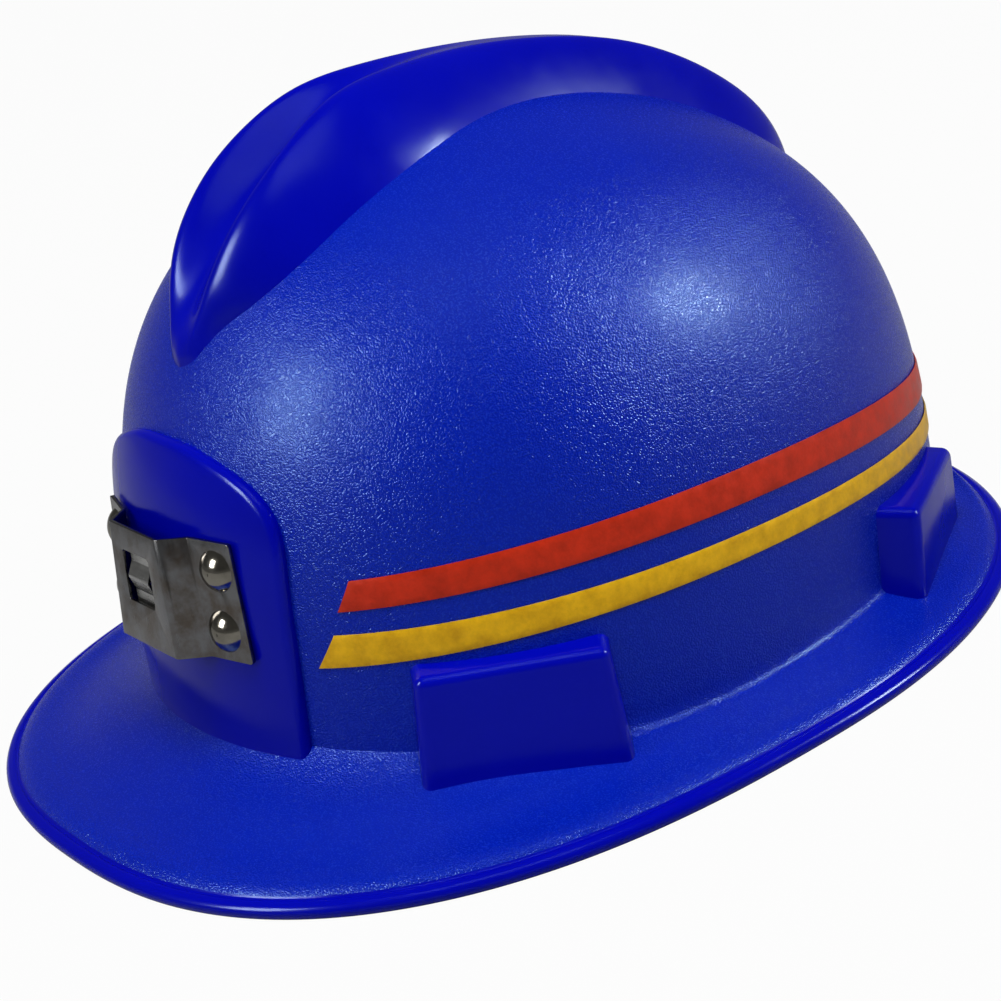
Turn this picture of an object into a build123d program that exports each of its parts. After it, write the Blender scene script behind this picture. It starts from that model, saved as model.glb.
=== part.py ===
from build123d import *
import os
from math import asin, atan2, cos, degrees, hypot, pi, radians, sin, sqrt, tan

os.makedirs("parts", exist_ok=True)

# A miner's helmet of moulded plastic: front is -Y, the wearer's left is +X, and +Z is up.
# It rests on the edge of its brim, and the origin is on that surface, midway along the brim.

# Brim, seen from above: a rounded oval whose two halves differ in length and fullness.
BRIM_LENGTH = 300.0
BRIM_WIDTH = 261.0
BRIM_CENTRE_Y = 7.0
BRIM_FRONT_POWER = 2.44
BRIM_REAR_POWER = 2.26
EDGE_HEIGHT = 3.8
EDGE_ROUND = 1.1
RIM_WIDTH = 3.6
RIM_BLEND_SHARE = 0.16

# Dome, in its own frame that is pitched back on the brim.
WALL = 2.6
DOME_HALF_WIDTH = 103.2
DOME_FRONT = 111.9
DOME_REAR = 133.0
DOME_CENTRE_Y = 9.3
DOME_BASE_Z = 14.8
CROWN_Z = 159.2
DOME_FRONT_POWER = 2.07
DOME_REAR_POWER = 2.03
PROFILE_RISE_POWER = 3.27
PROFILE_ROUND_POWER = 1.83
DOME_LEAN_SHARE = -0.03
DOME_PITCH_DEG = 4.18
DOME_LIFT = 1.0
DOME_LEVEL_SHARES = (0.11, 0.22, 0.34, 0.46, 0.57, 0.67, 0.76, 0.84, 0.905, 0.95, 0.98, 0.996)
RING_POINT_COUNT = 28

# Where the wall turns out into the brim, above the surface that the helmet rests on.
CORNER_HEIGHT = 9.6
CORNER_FRONT_RISE = 8.0
FLARE_UP = 4.8
FLARE_OUT_SHARE = 0.22
FLARE_CUT_SHARE = 0.3
CUT_OVERRUN = 1.0

# Crest: two ridges that leave one nose, spread, and run together again over the crown.
CREST_HEIGHT = 18.0
CREST_HALF_WIDTH = 29.0
RIDGE_SPREAD = 13.8
VALLEY_DEPTH = 9.0
CREST_PIVOT_Y = 8.0
CREST_PIVOT_Z = 60.0
CREST_START_DEG = 25.0
CREST_END_DEG = 163.0
CREST_FOOT_OUT = 1.3
CREST_FOOT_DEPTH = 2.2
CREST_ROOT_DEPTH = 7.5
CREST_INNER_START = 3
CREST_INNER_END = -2
# Each station: share of the turn, then shares of half width, spread, height and valley depth.
CREST_STATION_SHARES = (
    (0.000, 0.07, 0.07, -0.17, 0.00),
    (0.030, 0.21, 0.16, 0.06, -0.08),
    (0.060, 0.42, 0.38, 0.19, -0.16),
    (0.095, 0.67, 0.62, 0.35, -0.05),
    (0.130, 0.84, 0.78, 0.51, 0.22),
    (0.167, 0.94, 0.90, 0.65, 0.58),
    (0.220, 0.99, 0.97, 0.80, 0.89),
    (0.270, 1.00, 0.90, 0.93, 0.98),
    (0.325, 0.97, 0.74, 0.98, 0.70),
    (0.390, 0.88, 0.55, 0.87, 0.26),
    (0.470, 0.71, 0.36, 0.77, 0.03),
    (0.580, 0.56, 0.27, 0.76, 0.00),
    (0.700, 0.49, 0.24, 0.79, 0.00),
    (0.815, 0.46, 0.23, 0.72, 0.00),
    (0.900, 0.41, 0.20, 0.55, 0.00),
    (0.960, 0.24, 0.13, 0.18, 0.00),
    (1.000, 0.08, 0.06, -0.18, 0.00),
)
FLANK_OUT_SHARE = 0.22
FLANK_UP_SHARE = 0.42
RIDGE_HANDLE_SHARE = 0.26
VALLEY_RIDGE_SHARE = 0.22
VALLEY_FLOOR_SHARE = 0.38
REACH_SEARCH = 200.0
SEARCH_STEPS = 40

# Front pad: the raised arch that carries the lamp bracket.
PAD_RISE = 3.0
PAD_HALF_WIDTH = 45.0
PAD_TOP_Z = 93.3
PAD_OUTLINE_SHARES = (
    (0.93, 0.02), (0.96, 0.228), (0.985, 0.379), (0.998, 0.547), (1.0, 0.656), (0.985, 0.765),
    (0.94, 0.828), (0.85, 0.882), (0.69, 0.932), (0.507, 0.966), (0.30, 0.991),
)
PAD_EDGE_RADIUS = 2.4

# Blocks on the four sides: outside bosses, hollow for the suspension keys.
BLOCK_FRONT_X = 91.3
BLOCK_FRONT_Y = -59.0
BLOCK_FRONT_TURN_DEG = -32.0
BLOCK_REAR_X = 89.0
BLOCK_REAR_Y = 92.0
BLOCK_REAR_TURN_DEG = 35.0
BLOCK_WIDTH_TOP = 50.0
BLOCK_WIDTH_FOOT = 55.0
BLOCK_TOP_Z = 36.6
BLOCK_SPREAD_HEIGHT = 32.0
BLOCK_DRAFT_SHARE = 0.07
BLOCK_DEPTH = 17.0
BLOCK_EDGE_RADIUS = 2.6
BLOCK_WALL = 2.5
BLOCK_FOOT_HEIGHT = 1.8
POCKET_WIDTH = 38.0
POCKET_THICKNESS = 4.4
POCKET_ROOF = 4.0

# Fits shared by every part.
GAP = 0.3
TURN_FIT = 0.06
RIVET_FIT = 0.05

# Tapes on both sides: bands between arcs drawn in the side view of the dome's frame.
TAPE_LIFT = 0.25
TAPE_THICKNESS = 0.3
TAPE_SPAN = 140.0
TAPE_REAR_X = 22.0
TAPE_RISE = 68.0
RED_TOP_SHARES = ((-0.593, 0.894), (0.071, 0.996), (0.979, 0.816))
RED_FOOT_SHARES = ((-0.614, 0.771), (0.071, 0.863), (0.979, 0.687))
YELLOW_TOP_SHARES = ((-0.624, 0.676), (0.179, 0.750), (0.979, 0.625))
YELLOW_FOOT_SHARES = ((-0.647, 0.537), (0.179, 0.650), (0.979, 0.525))

# Lamp bracket: bent sheet on the front pad, with a spring behind its window.
SHEET = 1.2
BRACKET_Z = 54.5
BRACKET_HEIGHT = 33.0
BRACKET_HALF_WIDTH = 34.2
BRACKET_TAPER = 1.3
WING_INNER_X = 19.5
WING_MIDDLE_X = 27.2
FRONT_HALF_WIDTH = 14.0
FRONT_OUT = 10.6
BRACKET_BEND = 1.6
BRACKET_CORNER = 0.9
WINDOW_WIDTH = 14.6
WINDOW_HEIGHT = 14.4
WINDOW_RISE = 2.5
WINDOW_CORNER = 1.0
SLOPE_STEP = 0.5
LEAF = 0.8
LEAF_WIDTH = 11.0
LEAF_FOOT = -14.0
LEAF_TOP = 12.5
LEAF_BUMP = 1.7
LEAF_BUMP_REACH = 4.0
LEAF_BEND = 0.8
RIVET_HEAD_RADIUS = 5.8
RIVET_HEAD_HEIGHT = 3.1
CLIP_RIVET_HEAD_RADIUS = 4.6
CLIP_RIVET_HEAD_HEIGHT = 2.3
RIVET_RADIUS = 2.1
RIVET_TAIL_RADIUS = 3.3
RIVET_TAIL_HEIGHT = 1.2
RIVET_RISES = (8.4, -8.4)
WASHER_RADIUS = 5.0
WASHER = 1.0

# Suspension keys: a tongue in the block's pocket, a web under the wall, an arm inside.
KEY_TONGUE_WIDTH = 34.0
KEY_FLOOR = 3.4
KEY_WEB = 2.6
KEY_WEB_WIDTH = 28.0
ARM_DEPTH = 15.5
ARM = 2.4
ARM_WIDTH = 29.0
ARM_TOP_Z = 38.0
STRAP_SLOT_WIDTH = 23.0
STRAP_SLOT_HEIGHT = 5.0
STRAP_BAR_HEIGHT = 4.0
HOLDER_WIDTH = 12.0
HOLDER_FOOT_Z = 16.0
HOLDER_FLOOR = 3.0
HOLDER_HEIGHT = 12.0
HOLDER_PLATE = 2.4

# Crown straps and the pad under their crossing.
STRAP_WIDTH = 20.0
STRAP = 1.6
STRAP_TOP_Z = 126.0
STRAP_CROSS_RISE = 2.2
STRAP_TURN = 1.5
STRAP_TAIL = 10.0
STRAP_ARCH_SHARES = ((0.985, 0.25), (0.915, 0.50), (0.76, 0.73), (0.50, 0.90), (0.25, 0.98))
STRAP_STRAIGHT = 6.0
CROWN_PAD_RADIUS = 36.0
CROWN_PAD_THICKNESS = 5.0
CROWN_PAD_CURVE = 125.0
CROWN_PAD_EDGE = 1.8

# Headband: a fixed front half and two slotted tails that slide round one vertical axis.
BAND_Y = 25.0
BAND_Z = 28.0
NAPE_DEG = 90.0
BAND = 1.6
BAND_SIDE_ROOM = 16.0
BAND_FRONT_ROOM = 19.0
BAND_HALF_WIDTH = DOME_HALF_WIDTH - WALL - BAND_SIDE_ROOM
BAND_FRONT_LENGTH = DOME_FRONT - DOME_CENTRE_Y + BAND_Y - WALL - BAND_FRONT_ROOM
BAND_HEIGHT = 28.0
BAND_END_DEG = 20.0
BAND_POINT_COUNT = 24
STUD_RADIUS = 1.8
STUD_HEAD_RADIUS = 4.5
STUD_HEAD = 1.2
STUD_CAP_RADIUS = 3.0
STUD_CAP = 1.2
TAIL_HEIGHT = 21.0
LANE_INSET = 5.6
LEFT_LANE = BAND_HALF_WIDTH - LANE_INSET
RIGHT_LANE = LEFT_LANE + BAND + GAP * 2
TAIL_START_DEG = -2.0
TAIL_END_DEG = 112.0
TAIL_CORNER = 3.0
SLOT_HALF_DEG = 18.4
GUIDE_WALL = 1.6
GUIDE_START_DEG = 13.0
GUIDE_END_DEG = 19.0
GUIDE_HALF_DEG = 3.5
BROW_THICKNESS = 4.0
BROW_HEIGHT = 31.0
BROW_HALF_DEG = 56.0
BROW_EDGE = 1.6
NAPE_THICKNESS = 4.6
NAPE_HEIGHT = 36.0
NAPE_HALF_DEG = 20.0
NAPE_EDGE = 1.8

# Ratchet at the nape.
MODULE = 1.0
PINION_TEETH = 10
TOOTH_ADDENDUM_SHARE = 0.88
TOOTH_DEDENDUM_SHARE = 1.16
BACKLASH_SHARE = 0.16
TOOTH_SLOPE_SHARE = 0.36
RATCHET_HALF_WIDTH = 30.0
RATCHET_HEIGHT = 34.0
RATCHET_WALL = 2.0
COVER_DEPTH = 5.64
COVER_REACH = RIGHT_LANE + BAND / 2 + GAP + TURN_FIT + COVER_DEPTH
COVER_CORNER = 4.0
RECESS_DEPTH = 3.2
RECESS_RADIUS = 13.2
KNOB_RADIUS = 15.5
KNOB_HEIGHT = 10.5
KNOB_FLUTES = 12
FLUTE_RADIUS = 2.4
FLUTE_OUT = 0.9
KNOB_EDGE = 1.0
WHEEL_RADIUS = 12.0
WHEEL_TOOTH = 0.8
WHEEL_TEETH = 24
WHEEL = 2.5
SHAFT_RADIUS = 2.6
SCREW_RADIUS = 1.5
SCREW_HEAD_RADIUS = 3.2
SCREW_HEAD = 1.6
SCREW_RECESS_RADIUS = 4.2
SCREW_RECESS = 2.4
SCREW_SLOT = 0.8
PAWL = 0.6
PAWL_WIDTH = 2.2
PAWL_Z = 14.2
PAWL_START = -11.6
PAWL_END = 2.6
PAWL_NOTCH = 1.2
PAWL_POCKET_HALF = 13.0
PAWL_POCKET_TOP = 15.6
PAWL_POCKET_FOOT = 9.0

# Cable clip at the back.
CLIP_Z = 78.0
CLIP_HEIGHT = 14.0
CLIP_RIVET_X = 10.5
CLIP_PLATE_END = 5.5
CABLE_RADIUS = 3.3
CLIP_OPEN_DEG = 80.0


def to_rest(x, y, z):
    """Dome frame to the frame in which the helmet rests on its brim."""
    turn = radians(DOME_PITCH_DEG)
    return (x, y * cos(turn) + z * sin(turn), z * cos(turn) - y * sin(turn) + DOME_LIFT)


SEAT = Location((0, 0, DOME_LIFT), (-DOME_PITCH_DEG, 0, 0))


def oval_share(x, y, half_width, front, rear, front_power, rear_power):
    """How far out a plan point is: 1 on the rounded oval, less inside."""
    length = rear if y > 0 else front
    power = rear_power if y > 0 else front_power
    return (abs(x / half_width) ** power + abs(y / length) ** power) ** (1 / power)


def dome_share(x, y):
    return oval_share(
        x, y, DOME_HALF_WIDTH, DOME_FRONT, DOME_REAR, DOME_FRONT_POWER, DOME_REAR_POWER
    )


def brim_share(x, y):
    rear = BRIM_LENGTH / 2 - BRIM_CENTRE_Y
    front = BRIM_LENGTH / 2 + BRIM_CENTRE_Y
    return oval_share(x, y, BRIM_WIDTH / 2, front, rear, BRIM_FRONT_POWER, BRIM_REAR_POWER)


def level_scale(z):
    rise = min(max((z - DOME_BASE_Z) / (CROWN_Z - DOME_BASE_Z), 0.0), 1.0)
    return (1 - rise**PROFILE_RISE_POWER) ** (1 / PROFILE_ROUND_POWER)


def level_centre(z):
    return DOME_CENTRE_Y + DOME_LEAN_SHARE * max(z - DOME_BASE_Z, 0.0)


def dome_point(turn, z):
    """A point of the plain dome along a plan direction, in the dome frame."""
    reach = level_scale(z) / dome_share(cos(turn), sin(turn))
    return Vector(reach * cos(turn), level_centre(z) + reach * sin(turn), z)


def dome_reach(x, lift):
    """Distance from the crest's pivot line to the plain dome, at x and at an angle of lift."""
    near = 0.0
    far = REACH_SEARCH
    for _ in range(SEARCH_STEPS):
        reach = (near + far) / 2
        y = CREST_PIVOT_Y - reach * cos(lift)
        z = CREST_PIVOT_Z + reach * sin(lift)
        if z < CROWN_Z and dome_share(x, y - level_centre(z)) < level_scale(z):
            near = reach
        else:
            far = reach
    return near


def brim_point(turn, inset, height):
    """A point of the brim's outline, in the rest frame."""
    reach = 1 / brim_share(cos(turn), sin(turn)) - inset
    return Vector(reach * cos(turn), BRIM_CENTRE_Y + reach * sin(turn), height)


def wall_at_height(turn, height):
    """The point of the plain dome, along a plan direction, that has this height at rest."""
    z = height
    for _ in range(SEARCH_STEPS):
        z += height - to_rest(*dome_point(turn, z))[2]
    return Vector(*to_rest(*dome_point(turn, z)))


def corner_height(turn):
    return CORNER_HEIGHT + CORNER_FRONT_RISE * max(-sin(turn), 0.0) ** 2


def skin_profile(turn):
    """The outer skin from the brim's edge up to the crown, along one plan direction."""
    edge = brim_point(turn, EDGE_ROUND, EDGE_HEIGHT)
    corner = wall_at_height(turn, corner_height(turn))
    wall = wall_at_height(turn, corner_height(turn) + FLARE_UP)
    foot = corner + (edge - corner) * FLARE_OUT_SHARE
    bend = corner + (foot - corner + wall - corner) * FLARE_CUT_SHARE
    points = [edge, (edge + foot) / 2, foot, bend, wall]
    for share in DOME_LEVEL_SHARES:
        z = DOME_BASE_Z + share * (CROWN_Z - DOME_BASE_Z)
        points.append(Vector(*to_rest(*dome_point(turn, z))))
    return points


def grown(points, turn, growth):
    """A profile moved out from the solid, square to itself."""
    across = Vector(-sin(turn), cos(turn), 0)
    moved = []
    for number, point in enumerate(points):
        before = points[max(number - 1, 0)]
        after = points[min(number + 1, len(points) - 1)]
        outward = across.cross(after - before).normalized()
        moved.append(point + outward * growth)
    pitch = radians(DOME_PITCH_DEG)
    moved[0] = Vector(moved[0].X, moved[0].Y, points[0].Z)
    moved[-1] = points[-1] + Vector(0, sin(pitch), cos(pitch)) * growth
    return moved


def ring_turns():
    return [pi / 2 + 2 * pi * number / RING_POINT_COUNT for number in range(RING_POINT_COUNT)]


def loft_rings(profiles):
    rings = [Wire([Edge.make_spline(list(ring), periodic=True)]) for ring in zip(*profiles)]
    return Solid.make_loft(rings)


def outer_skin():
    profiles = []
    for turn in ring_turns():
        low = brim_point(turn, EDGE_ROUND, 0)
        side = brim_point(turn, 0, EDGE_HEIGHT / 2)
        profiles.append([low, side] + skin_profile(turn))
    return loft_rings(profiles)


def inner_skin():
    profiles = []
    for turn in ring_turns():
        points = grown(skin_profile(turn), turn, -WALL)
        rim = brim_point(turn, RIM_WIDTH, -CUT_OVERRUN)
        blend = points[0] + (points[2] - points[0]) * RIM_BLEND_SHARE
        profiles.append([rim, blend] + points[1:])
    return loft_rings(profiles)


def dome_skin(growth):
    """The dome alone, its wall running straight down, grown outwards."""
    profiles = []
    for turn in ring_turns():
        low = wall_at_height(turn, 0)
        points = [low, wall_at_height(turn, corner_height(turn))] + skin_profile(turn)[4:]
        profiles.append(grown(points, turn, growth))
    return loft_rings(profiles)


def crest(inset, first, last):
    """The crest's body, with its flanks and ridges moved in by inset."""
    sections = []
    for turn_share, width_share, spread_share, height_share, dip_share in (
        CREST_STATION_SHARES[first:last]
    ):
        lift = radians(CREST_START_DEG + turn_share * (CREST_END_DEG - CREST_START_DEG))
        half = width_share * CREST_HALF_WIDTH - inset
        spread = spread_share * RIDGE_SPREAD * (1 - inset / (half + inset))
        dip = dip_share * VALLEY_DEPTH
        middle = dome_reach(0, lift)
        ridge = middle + height_share * CREST_HEIGHT - inset
        foot = dome_reach(half, lift) - CREST_FOOT_DEPTH - inset
        side = half + CREST_FOOT_OUT
        root = min(foot, middle - CREST_ROOT_DEPTH) - inset
        fall = max(-dip / spread, 0.0)
        run = side - spread
        flank = [
            (side, foot),
            (side - FLANK_OUT_SHARE * run, foot + FLANK_UP_SHARE * (ridge - foot)),
            (spread + RIDGE_HANDLE_SHARE * run, ridge - fall * RIDGE_HANDLE_SHARE * run),
            (spread, ridge),
        ]
        valley = [
            (spread, ridge),
            (spread * (1 - VALLEY_RIDGE_SHARE), ridge + fall * VALLEY_RIDGE_SHARE * spread),
            (spread * VALLEY_FLOOR_SHARE, ridge - dip),
            (0, ridge - dip),
        ]
        plane = Plane(
            origin=(0, CREST_PIVOT_Y, CREST_PIVOT_Z),
            x_dir=(1, 0, 0),
            z_dir=(0, -sin(lift), -cos(lift)),
        )
        edges = [Edge.make_line((-side, root), (side, root)), Edge.make_line((side, root), (side, foot))]
        edges += [Edge.make_bezier(*flank), Edge.make_bezier(*valley)]
        edges += [Edge.make_bezier(*[(-x, y) for x, y in reversed(valley)])]
        edges += [Edge.make_bezier(*[(-x, y) for x, y in reversed(flank)])]
        edges += [Edge.make_line((-side, foot), (-side, root))]
        sections.append(Wire([plane.from_local_coords(edge) for edge in edges]))
    return Solid.make_loft(sections).moved(SEAT)


def front_pad():
    half = [(x * PAD_HALF_WIDTH, z * PAD_TOP_Z) for x, z in PAD_OUTLINE_SHARES]
    outline = half + [(0, PAD_TOP_Z)] + [(-x, z) for x, z in reversed(half)]
    edges = [Edge.make_spline([Vector(x, 0, z) for x, z in outline])]
    edges.append(Edge.make_line(Vector(-half[0][0], 0, half[0][1]), Vector(half[0][0], 0, half[0][1])))
    arch = extrude(Face(Wire(edges)), BRIM_LENGTH / 2, dir=(0, -1, 0)).moved(SEAT)
    pad = dome_skin(PAD_RISE) & arch
    return pad


def frame_at(x, y, z, turn_deg):
    """A frame whose own z points out along turn_deg and whose own y points up."""
    turn = radians(turn_deg)
    return Location(Plane((x, y, z), x_dir=(-sin(turn), cos(turn), 0), z_dir=(cos(turn), sin(turn), 0)))


def floor_z(y, height):
    """The dome frame's z, at y, of a height above the surface that the helmet rests on."""
    pitch = radians(DOME_PITCH_DEG)
    return (height - DOME_LIFT + y * sin(pitch)) / cos(pitch)


def block_fall(spot):
    return BLOCK_TOP_Z - floor_z(spot.position.Y, BLOCK_FOOT_HEIGHT)


def block(spot):
    """A side block with a drafted face and rounded edges, standing out at its spot."""
    fall = block_fall(spot)
    widen = (BLOCK_WIDTH_FOOT - BLOCK_WIDTH_TOP) / 2 * fall / BLOCK_SPREAD_HEIGHT
    sections = []
    for depth in (0, BLOCK_DEPTH):
        grow = depth * BLOCK_DRAFT_SHARE
        top = BLOCK_WIDTH_TOP / 2 + grow
        corners = [(-top, grow), (top, grow), (top + widen, -fall), (-top - widen, -fall)]
        sections.append(Pos(0, 0, -depth) * make_face(Polyline(*corners, close=True)))
    body = loft(sections)
    shown = [
        edge for edge in body.edges() if edge.center().Y > -fall and edge.center().Z > -BLOCK_DEPTH
    ]
    return spot * fillet(shown, BLOCK_EDGE_RADIUS)


def pocket(spot):
    tall = block_fall(spot)
    return (
        spot
        * Pos(0, -POCKET_ROOF - tall / 2, -BLOCK_WALL - POCKET_THICKNESS / 2)
        * Box(POCKET_WIDTH, tall, POCKET_THICKNESS)
    )


FRONT_SPOT = frame_at(BLOCK_FRONT_X, BLOCK_FRONT_Y, BLOCK_TOP_Z, BLOCK_FRONT_TURN_DEG)
REAR_SPOT = frame_at(BLOCK_REAR_X, BLOCK_REAR_Y, BLOCK_TOP_Z, BLOCK_REAR_TURN_DEG)


def other_side(shape):
    return mirror(shape, about=Plane.YZ)


# Bracket frame: its z runs out of the wing's plane, its y runs up the sheet.

def dome_y(x, z, side):
    """The plain dome's y, in its own frame, at the front (side -1) or the back (side 1)."""
    power = DOME_REAR_POWER if side > 0 else DOME_FRONT_POWER
    length = DOME_REAR if side > 0 else DOME_FRONT
    left = level_scale(z) ** power - abs(x / DOME_HALF_WIDTH) ** power
    return level_centre(z) + side * length * left ** (1 / power)


def dome_slopes(x, z, side):
    """How the dome's y changes along x and along z."""
    here = dome_y(x, z, side)
    along_x = (dome_y(x + SLOPE_STEP, z, side) - here) / SLOPE_STEP
    along_z = (dome_y(x, z + SLOPE_STEP, side) - here) / SLOPE_STEP
    return along_x, along_z


WING_SLOPE, LEAN_SLOPE = dome_slopes(WING_MIDDLE_X, BRACKET_Z, -1)
WING_RISE = PAD_RISE * sqrt(1 + WING_SLOPE**2 + LEAN_SLOPE**2)
WING_SHEET = SHEET * sqrt(1 + WING_SLOPE**2)
WING_Y = dome_y(WING_MIDDLE_X, BRACKET_Z, -1) - WING_RISE
BRACKET_SPOT = Location(
    Plane((0, WING_Y, BRACKET_Z), x_dir=(1, 0, 0), z_dir=(0, -1, LEAN_SLOPE))
)
CLIP_SLOPE, CLIP_LEAN = dome_slopes(CLIP_RIVET_X, CLIP_Z, 1)
CLIP_SPOT = Location(
    Plane(
        (CLIP_RIVET_X, dome_y(CLIP_RIVET_X, CLIP_Z, 1), CLIP_Z),
        x_dir=(-1, -CLIP_SLOPE, 0),
        z_dir=(-CLIP_SLOPE, 1, -CLIP_LEAN),
    )
) * Pos(0, 0, GAP / 2)


def wing_out(x):
    """How far out of the bracket's frame the pad's tangent plane is at x."""
    return -WING_SLOPE * (abs(x) - WING_MIDDLE_X)


def bracket_profile(taper):
    """The bent sheet seen from above, each half made wider by the taper."""
    gap = GAP / 2 + WING_SHEET / 2
    outer = BRACKET_HALF_WIDTH + taper
    inner = WING_INNER_X + taper
    half = [
        (outer, wing_out(outer) + gap),
        (inner, wing_out(inner) + gap),
        (FRONT_HALF_WIDTH + taper, FRONT_OUT - SHEET / 2),
    ]
    path = FilletPolyline(*half, *[(-x, y) for x, y in reversed(half)], radius=BRACKET_BEND)
    return trace(path, line_width=SHEET)


def lamp_bracket():
    top = Pos(0, 0, -BRACKET_HEIGHT / 2) * bracket_profile(-BRACKET_TAPER)
    foot = Pos(0, 0, BRACKET_HEIGHT / 2) * bracket_profile(BRACKET_TAPER)
    sheet = Rot(90, 0, 0) * loft([top.face(), foot.face()])
    ends = [edge for edge in sheet.edges() if edge.length < SHEET * 1.5]
    corners = [edge for edge in ends if abs(edge.center().X) > WING_MIDDLE_X]
    sheet = fillet(corners, BRACKET_CORNER)
    window = Pos(0, WINDOW_RISE, FRONT_OUT) * extrude(
        RectangleRounded(WINDOW_WIDTH, WINDOW_HEIGHT, WINDOW_CORNER), SHEET * 2, both=True
    )
    sheet -= window
    for spot in rivet_spots():
        sheet -= spot * Cylinder(RIVET_RADIUS + RIVET_FIT, SHEET * 4)
    return sheet


def rivet_spots():
    """Frames on the outer face of the wings, their z along the rivets, out of the helmet."""
    spots = []
    for side in (1, -1):
        for rise in RIVET_RISES:
            out = wing_out(WING_MIDDLE_X) + GAP / 2 + WING_SHEET
            spots.append(
                Location(
                    Plane((side * WING_MIDDLE_X, rise, out), x_dir=(0, 1, 0),
                          z_dir=(side * WING_SLOPE, 0, 1))
                )
            )
    return spots


def bracket_leaf():
    """The spring leaf: side view drawn as (out, up), pressed out at the window."""
    out = FRONT_OUT - SHEET - GAP - LEAF / 2
    points = [
        (out, LEAF_FOOT),
        (out, WINDOW_RISE - LEAF_BUMP_REACH),
        (out + LEAF_BUMP, WINDOW_RISE),
        (out, WINDOW_RISE + LEAF_BUMP_REACH),
        (out, LEAF_TOP),
    ]
    path = FilletPolyline(*points, radius=LEAF_BEND)
    side = Plane(origin=(0, 0, 0), x_dir=(0, 0, 1), z_dir=(-1, 0, 0)) * trace(path, line_width=LEAF)
    return extrude(side, LEAF_WIDTH / 2, both=True)


def rivet(grip, head_radius, head_height):
    """A domed rivet: head on its frame's plane, shank through the grip, closed tail."""
    curve = (head_radius**2 + head_height**2) / (2 * head_height)
    head = Pos(0, 0, head_height - curve) * Sphere(curve)
    head &= Pos(0, 0, head_height / 2) * Cylinder(curve, head_height)
    shank = Pos(0, 0, -grip / 2) * Cylinder(RIVET_RADIUS, grip)
    tail = Pos(0, 0, -grip - RIVET_TAIL_HEIGHT / 2) * Cylinder(RIVET_TAIL_RADIUS, RIVET_TAIL_HEIGHT)
    return head + shank + tail


def washer():
    return Cylinder(WASHER_RADIUS, WASHER) - Cylinder(RIVET_RADIUS + RIVET_FIT, WASHER * 2)


SHELL_GRIP = SHEET + GAP / 2 + PAD_RISE + WALL + GAP * 2
RIVET_GRIP = SHELL_GRIP + WASHER
CLIP_GRIP = RIVET_GRIP - PAD_RISE


def shell():
    """The one-piece moulding, in the rest frame."""
    body = outer_skin() + crest(0, 0, None)
    pad = front_pad()
    body += fillet(pad.edges().filter_by(GeomType.BSPLINE).sort_by(Axis.Y)[0:1], PAD_EDGE_RADIUS)
    blocks = [block(FRONT_SPOT), block(REAR_SPOT)]
    for boss in blocks + [other_side(boss) for boss in blocks]:
        body += SEAT * boss
    body -= inner_skin()
    body -= crest(WALL, CREST_INNER_START, CREST_INNER_END)
    pockets = [pocket(FRONT_SPOT), pocket(REAR_SPOT)]
    for hollow in pockets + [other_side(hollow) for hollow in pockets]:
        body -= SEAT * hollow
    hole = Cylinder(RIVET_RADIUS + RIVET_FIT, RIVET_GRIP * 4)
    for spot in rivet_spots():
        body -= SEAT * BRACKET_SPOT * spot * hole
    return body - SEAT * CLIP_SPOT * hole


def tape(top_shares, foot_shares, skin):
    """One strip of tape on the left side, cut out of a thin skin by its side view."""
    top = [(y * TAPE_SPAN, z * TAPE_RISE) for y, z in top_shares]
    foot = [(y * TAPE_SPAN, z * TAPE_RISE) for y, z in foot_shares]
    side = ThreePointArc(*top) + Line(top[2], foot[2]) + ThreePointArc(*foot) + Line(foot[0], top[0])
    strip = Plane.YZ.offset(TAPE_REAR_X) * make_face(side)
    return skin & (SEAT * extrude(strip, BRIM_WIDTH / 2))


def sector(inner, outer, start, end, low, high):
    """Part of a ring round the headband's axis, between two angles seen from above."""
    profile = Plane.XZ * Pos((inner + outer) / 2, (low + high) / 2) * Rectangle(outer - inner, high - low)
    return Pos(0, BAND_Y, 0) * Rot(0, 0, start) * revolve(profile, Axis.Z, end - start)


def band_point(turn, out):
    """A point beside the front band's middle line, and the direction out of it there."""
    normal = Vector(cos(turn) / BAND_HALF_WIDTH, sin(turn) / BAND_FRONT_LENGTH, 0).normalized()
    middle = Vector(BAND_HALF_WIDTH * cos(turn), BAND_Y + BAND_FRONT_LENGTH * sin(turn), BAND_Z)
    return middle + normal * out, normal


def arm_spot(spot):
    """The middle of a key's inner arm, on the frame of its block."""
    return spot * Pos(0, 0, -ARM_DEPTH)


FRONT_ARM = arm_spot(FRONT_SPOT).position
REAR_ARM = arm_spot(REAR_SPOT).position
STRAP_SPAN = hypot(FRONT_ARM.X + REAR_ARM.X, REAR_ARM.Y - FRONT_ARM.Y) / 2
STRAP_TURN_DEG = degrees(atan2(FRONT_ARM.Y - REAR_ARM.Y, FRONT_ARM.X + REAR_ARM.X))


def nearest_band_turn(target):
    """The ellipse angle at which the front band's outward line passes through the target."""
    low, high = -pi / 2, 0.0
    for _ in range(SEARCH_STEPS):
        turn = (low + high) / 2
        point, normal = band_point(turn, 0)
        aside = (target - point).dot(Vector(-normal.Y, normal.X, 0))
        if aside > 0:
            low = turn
        else:
            high = turn
    return low


STUD_TURN = nearest_band_turn(FRONT_ARM)


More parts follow.
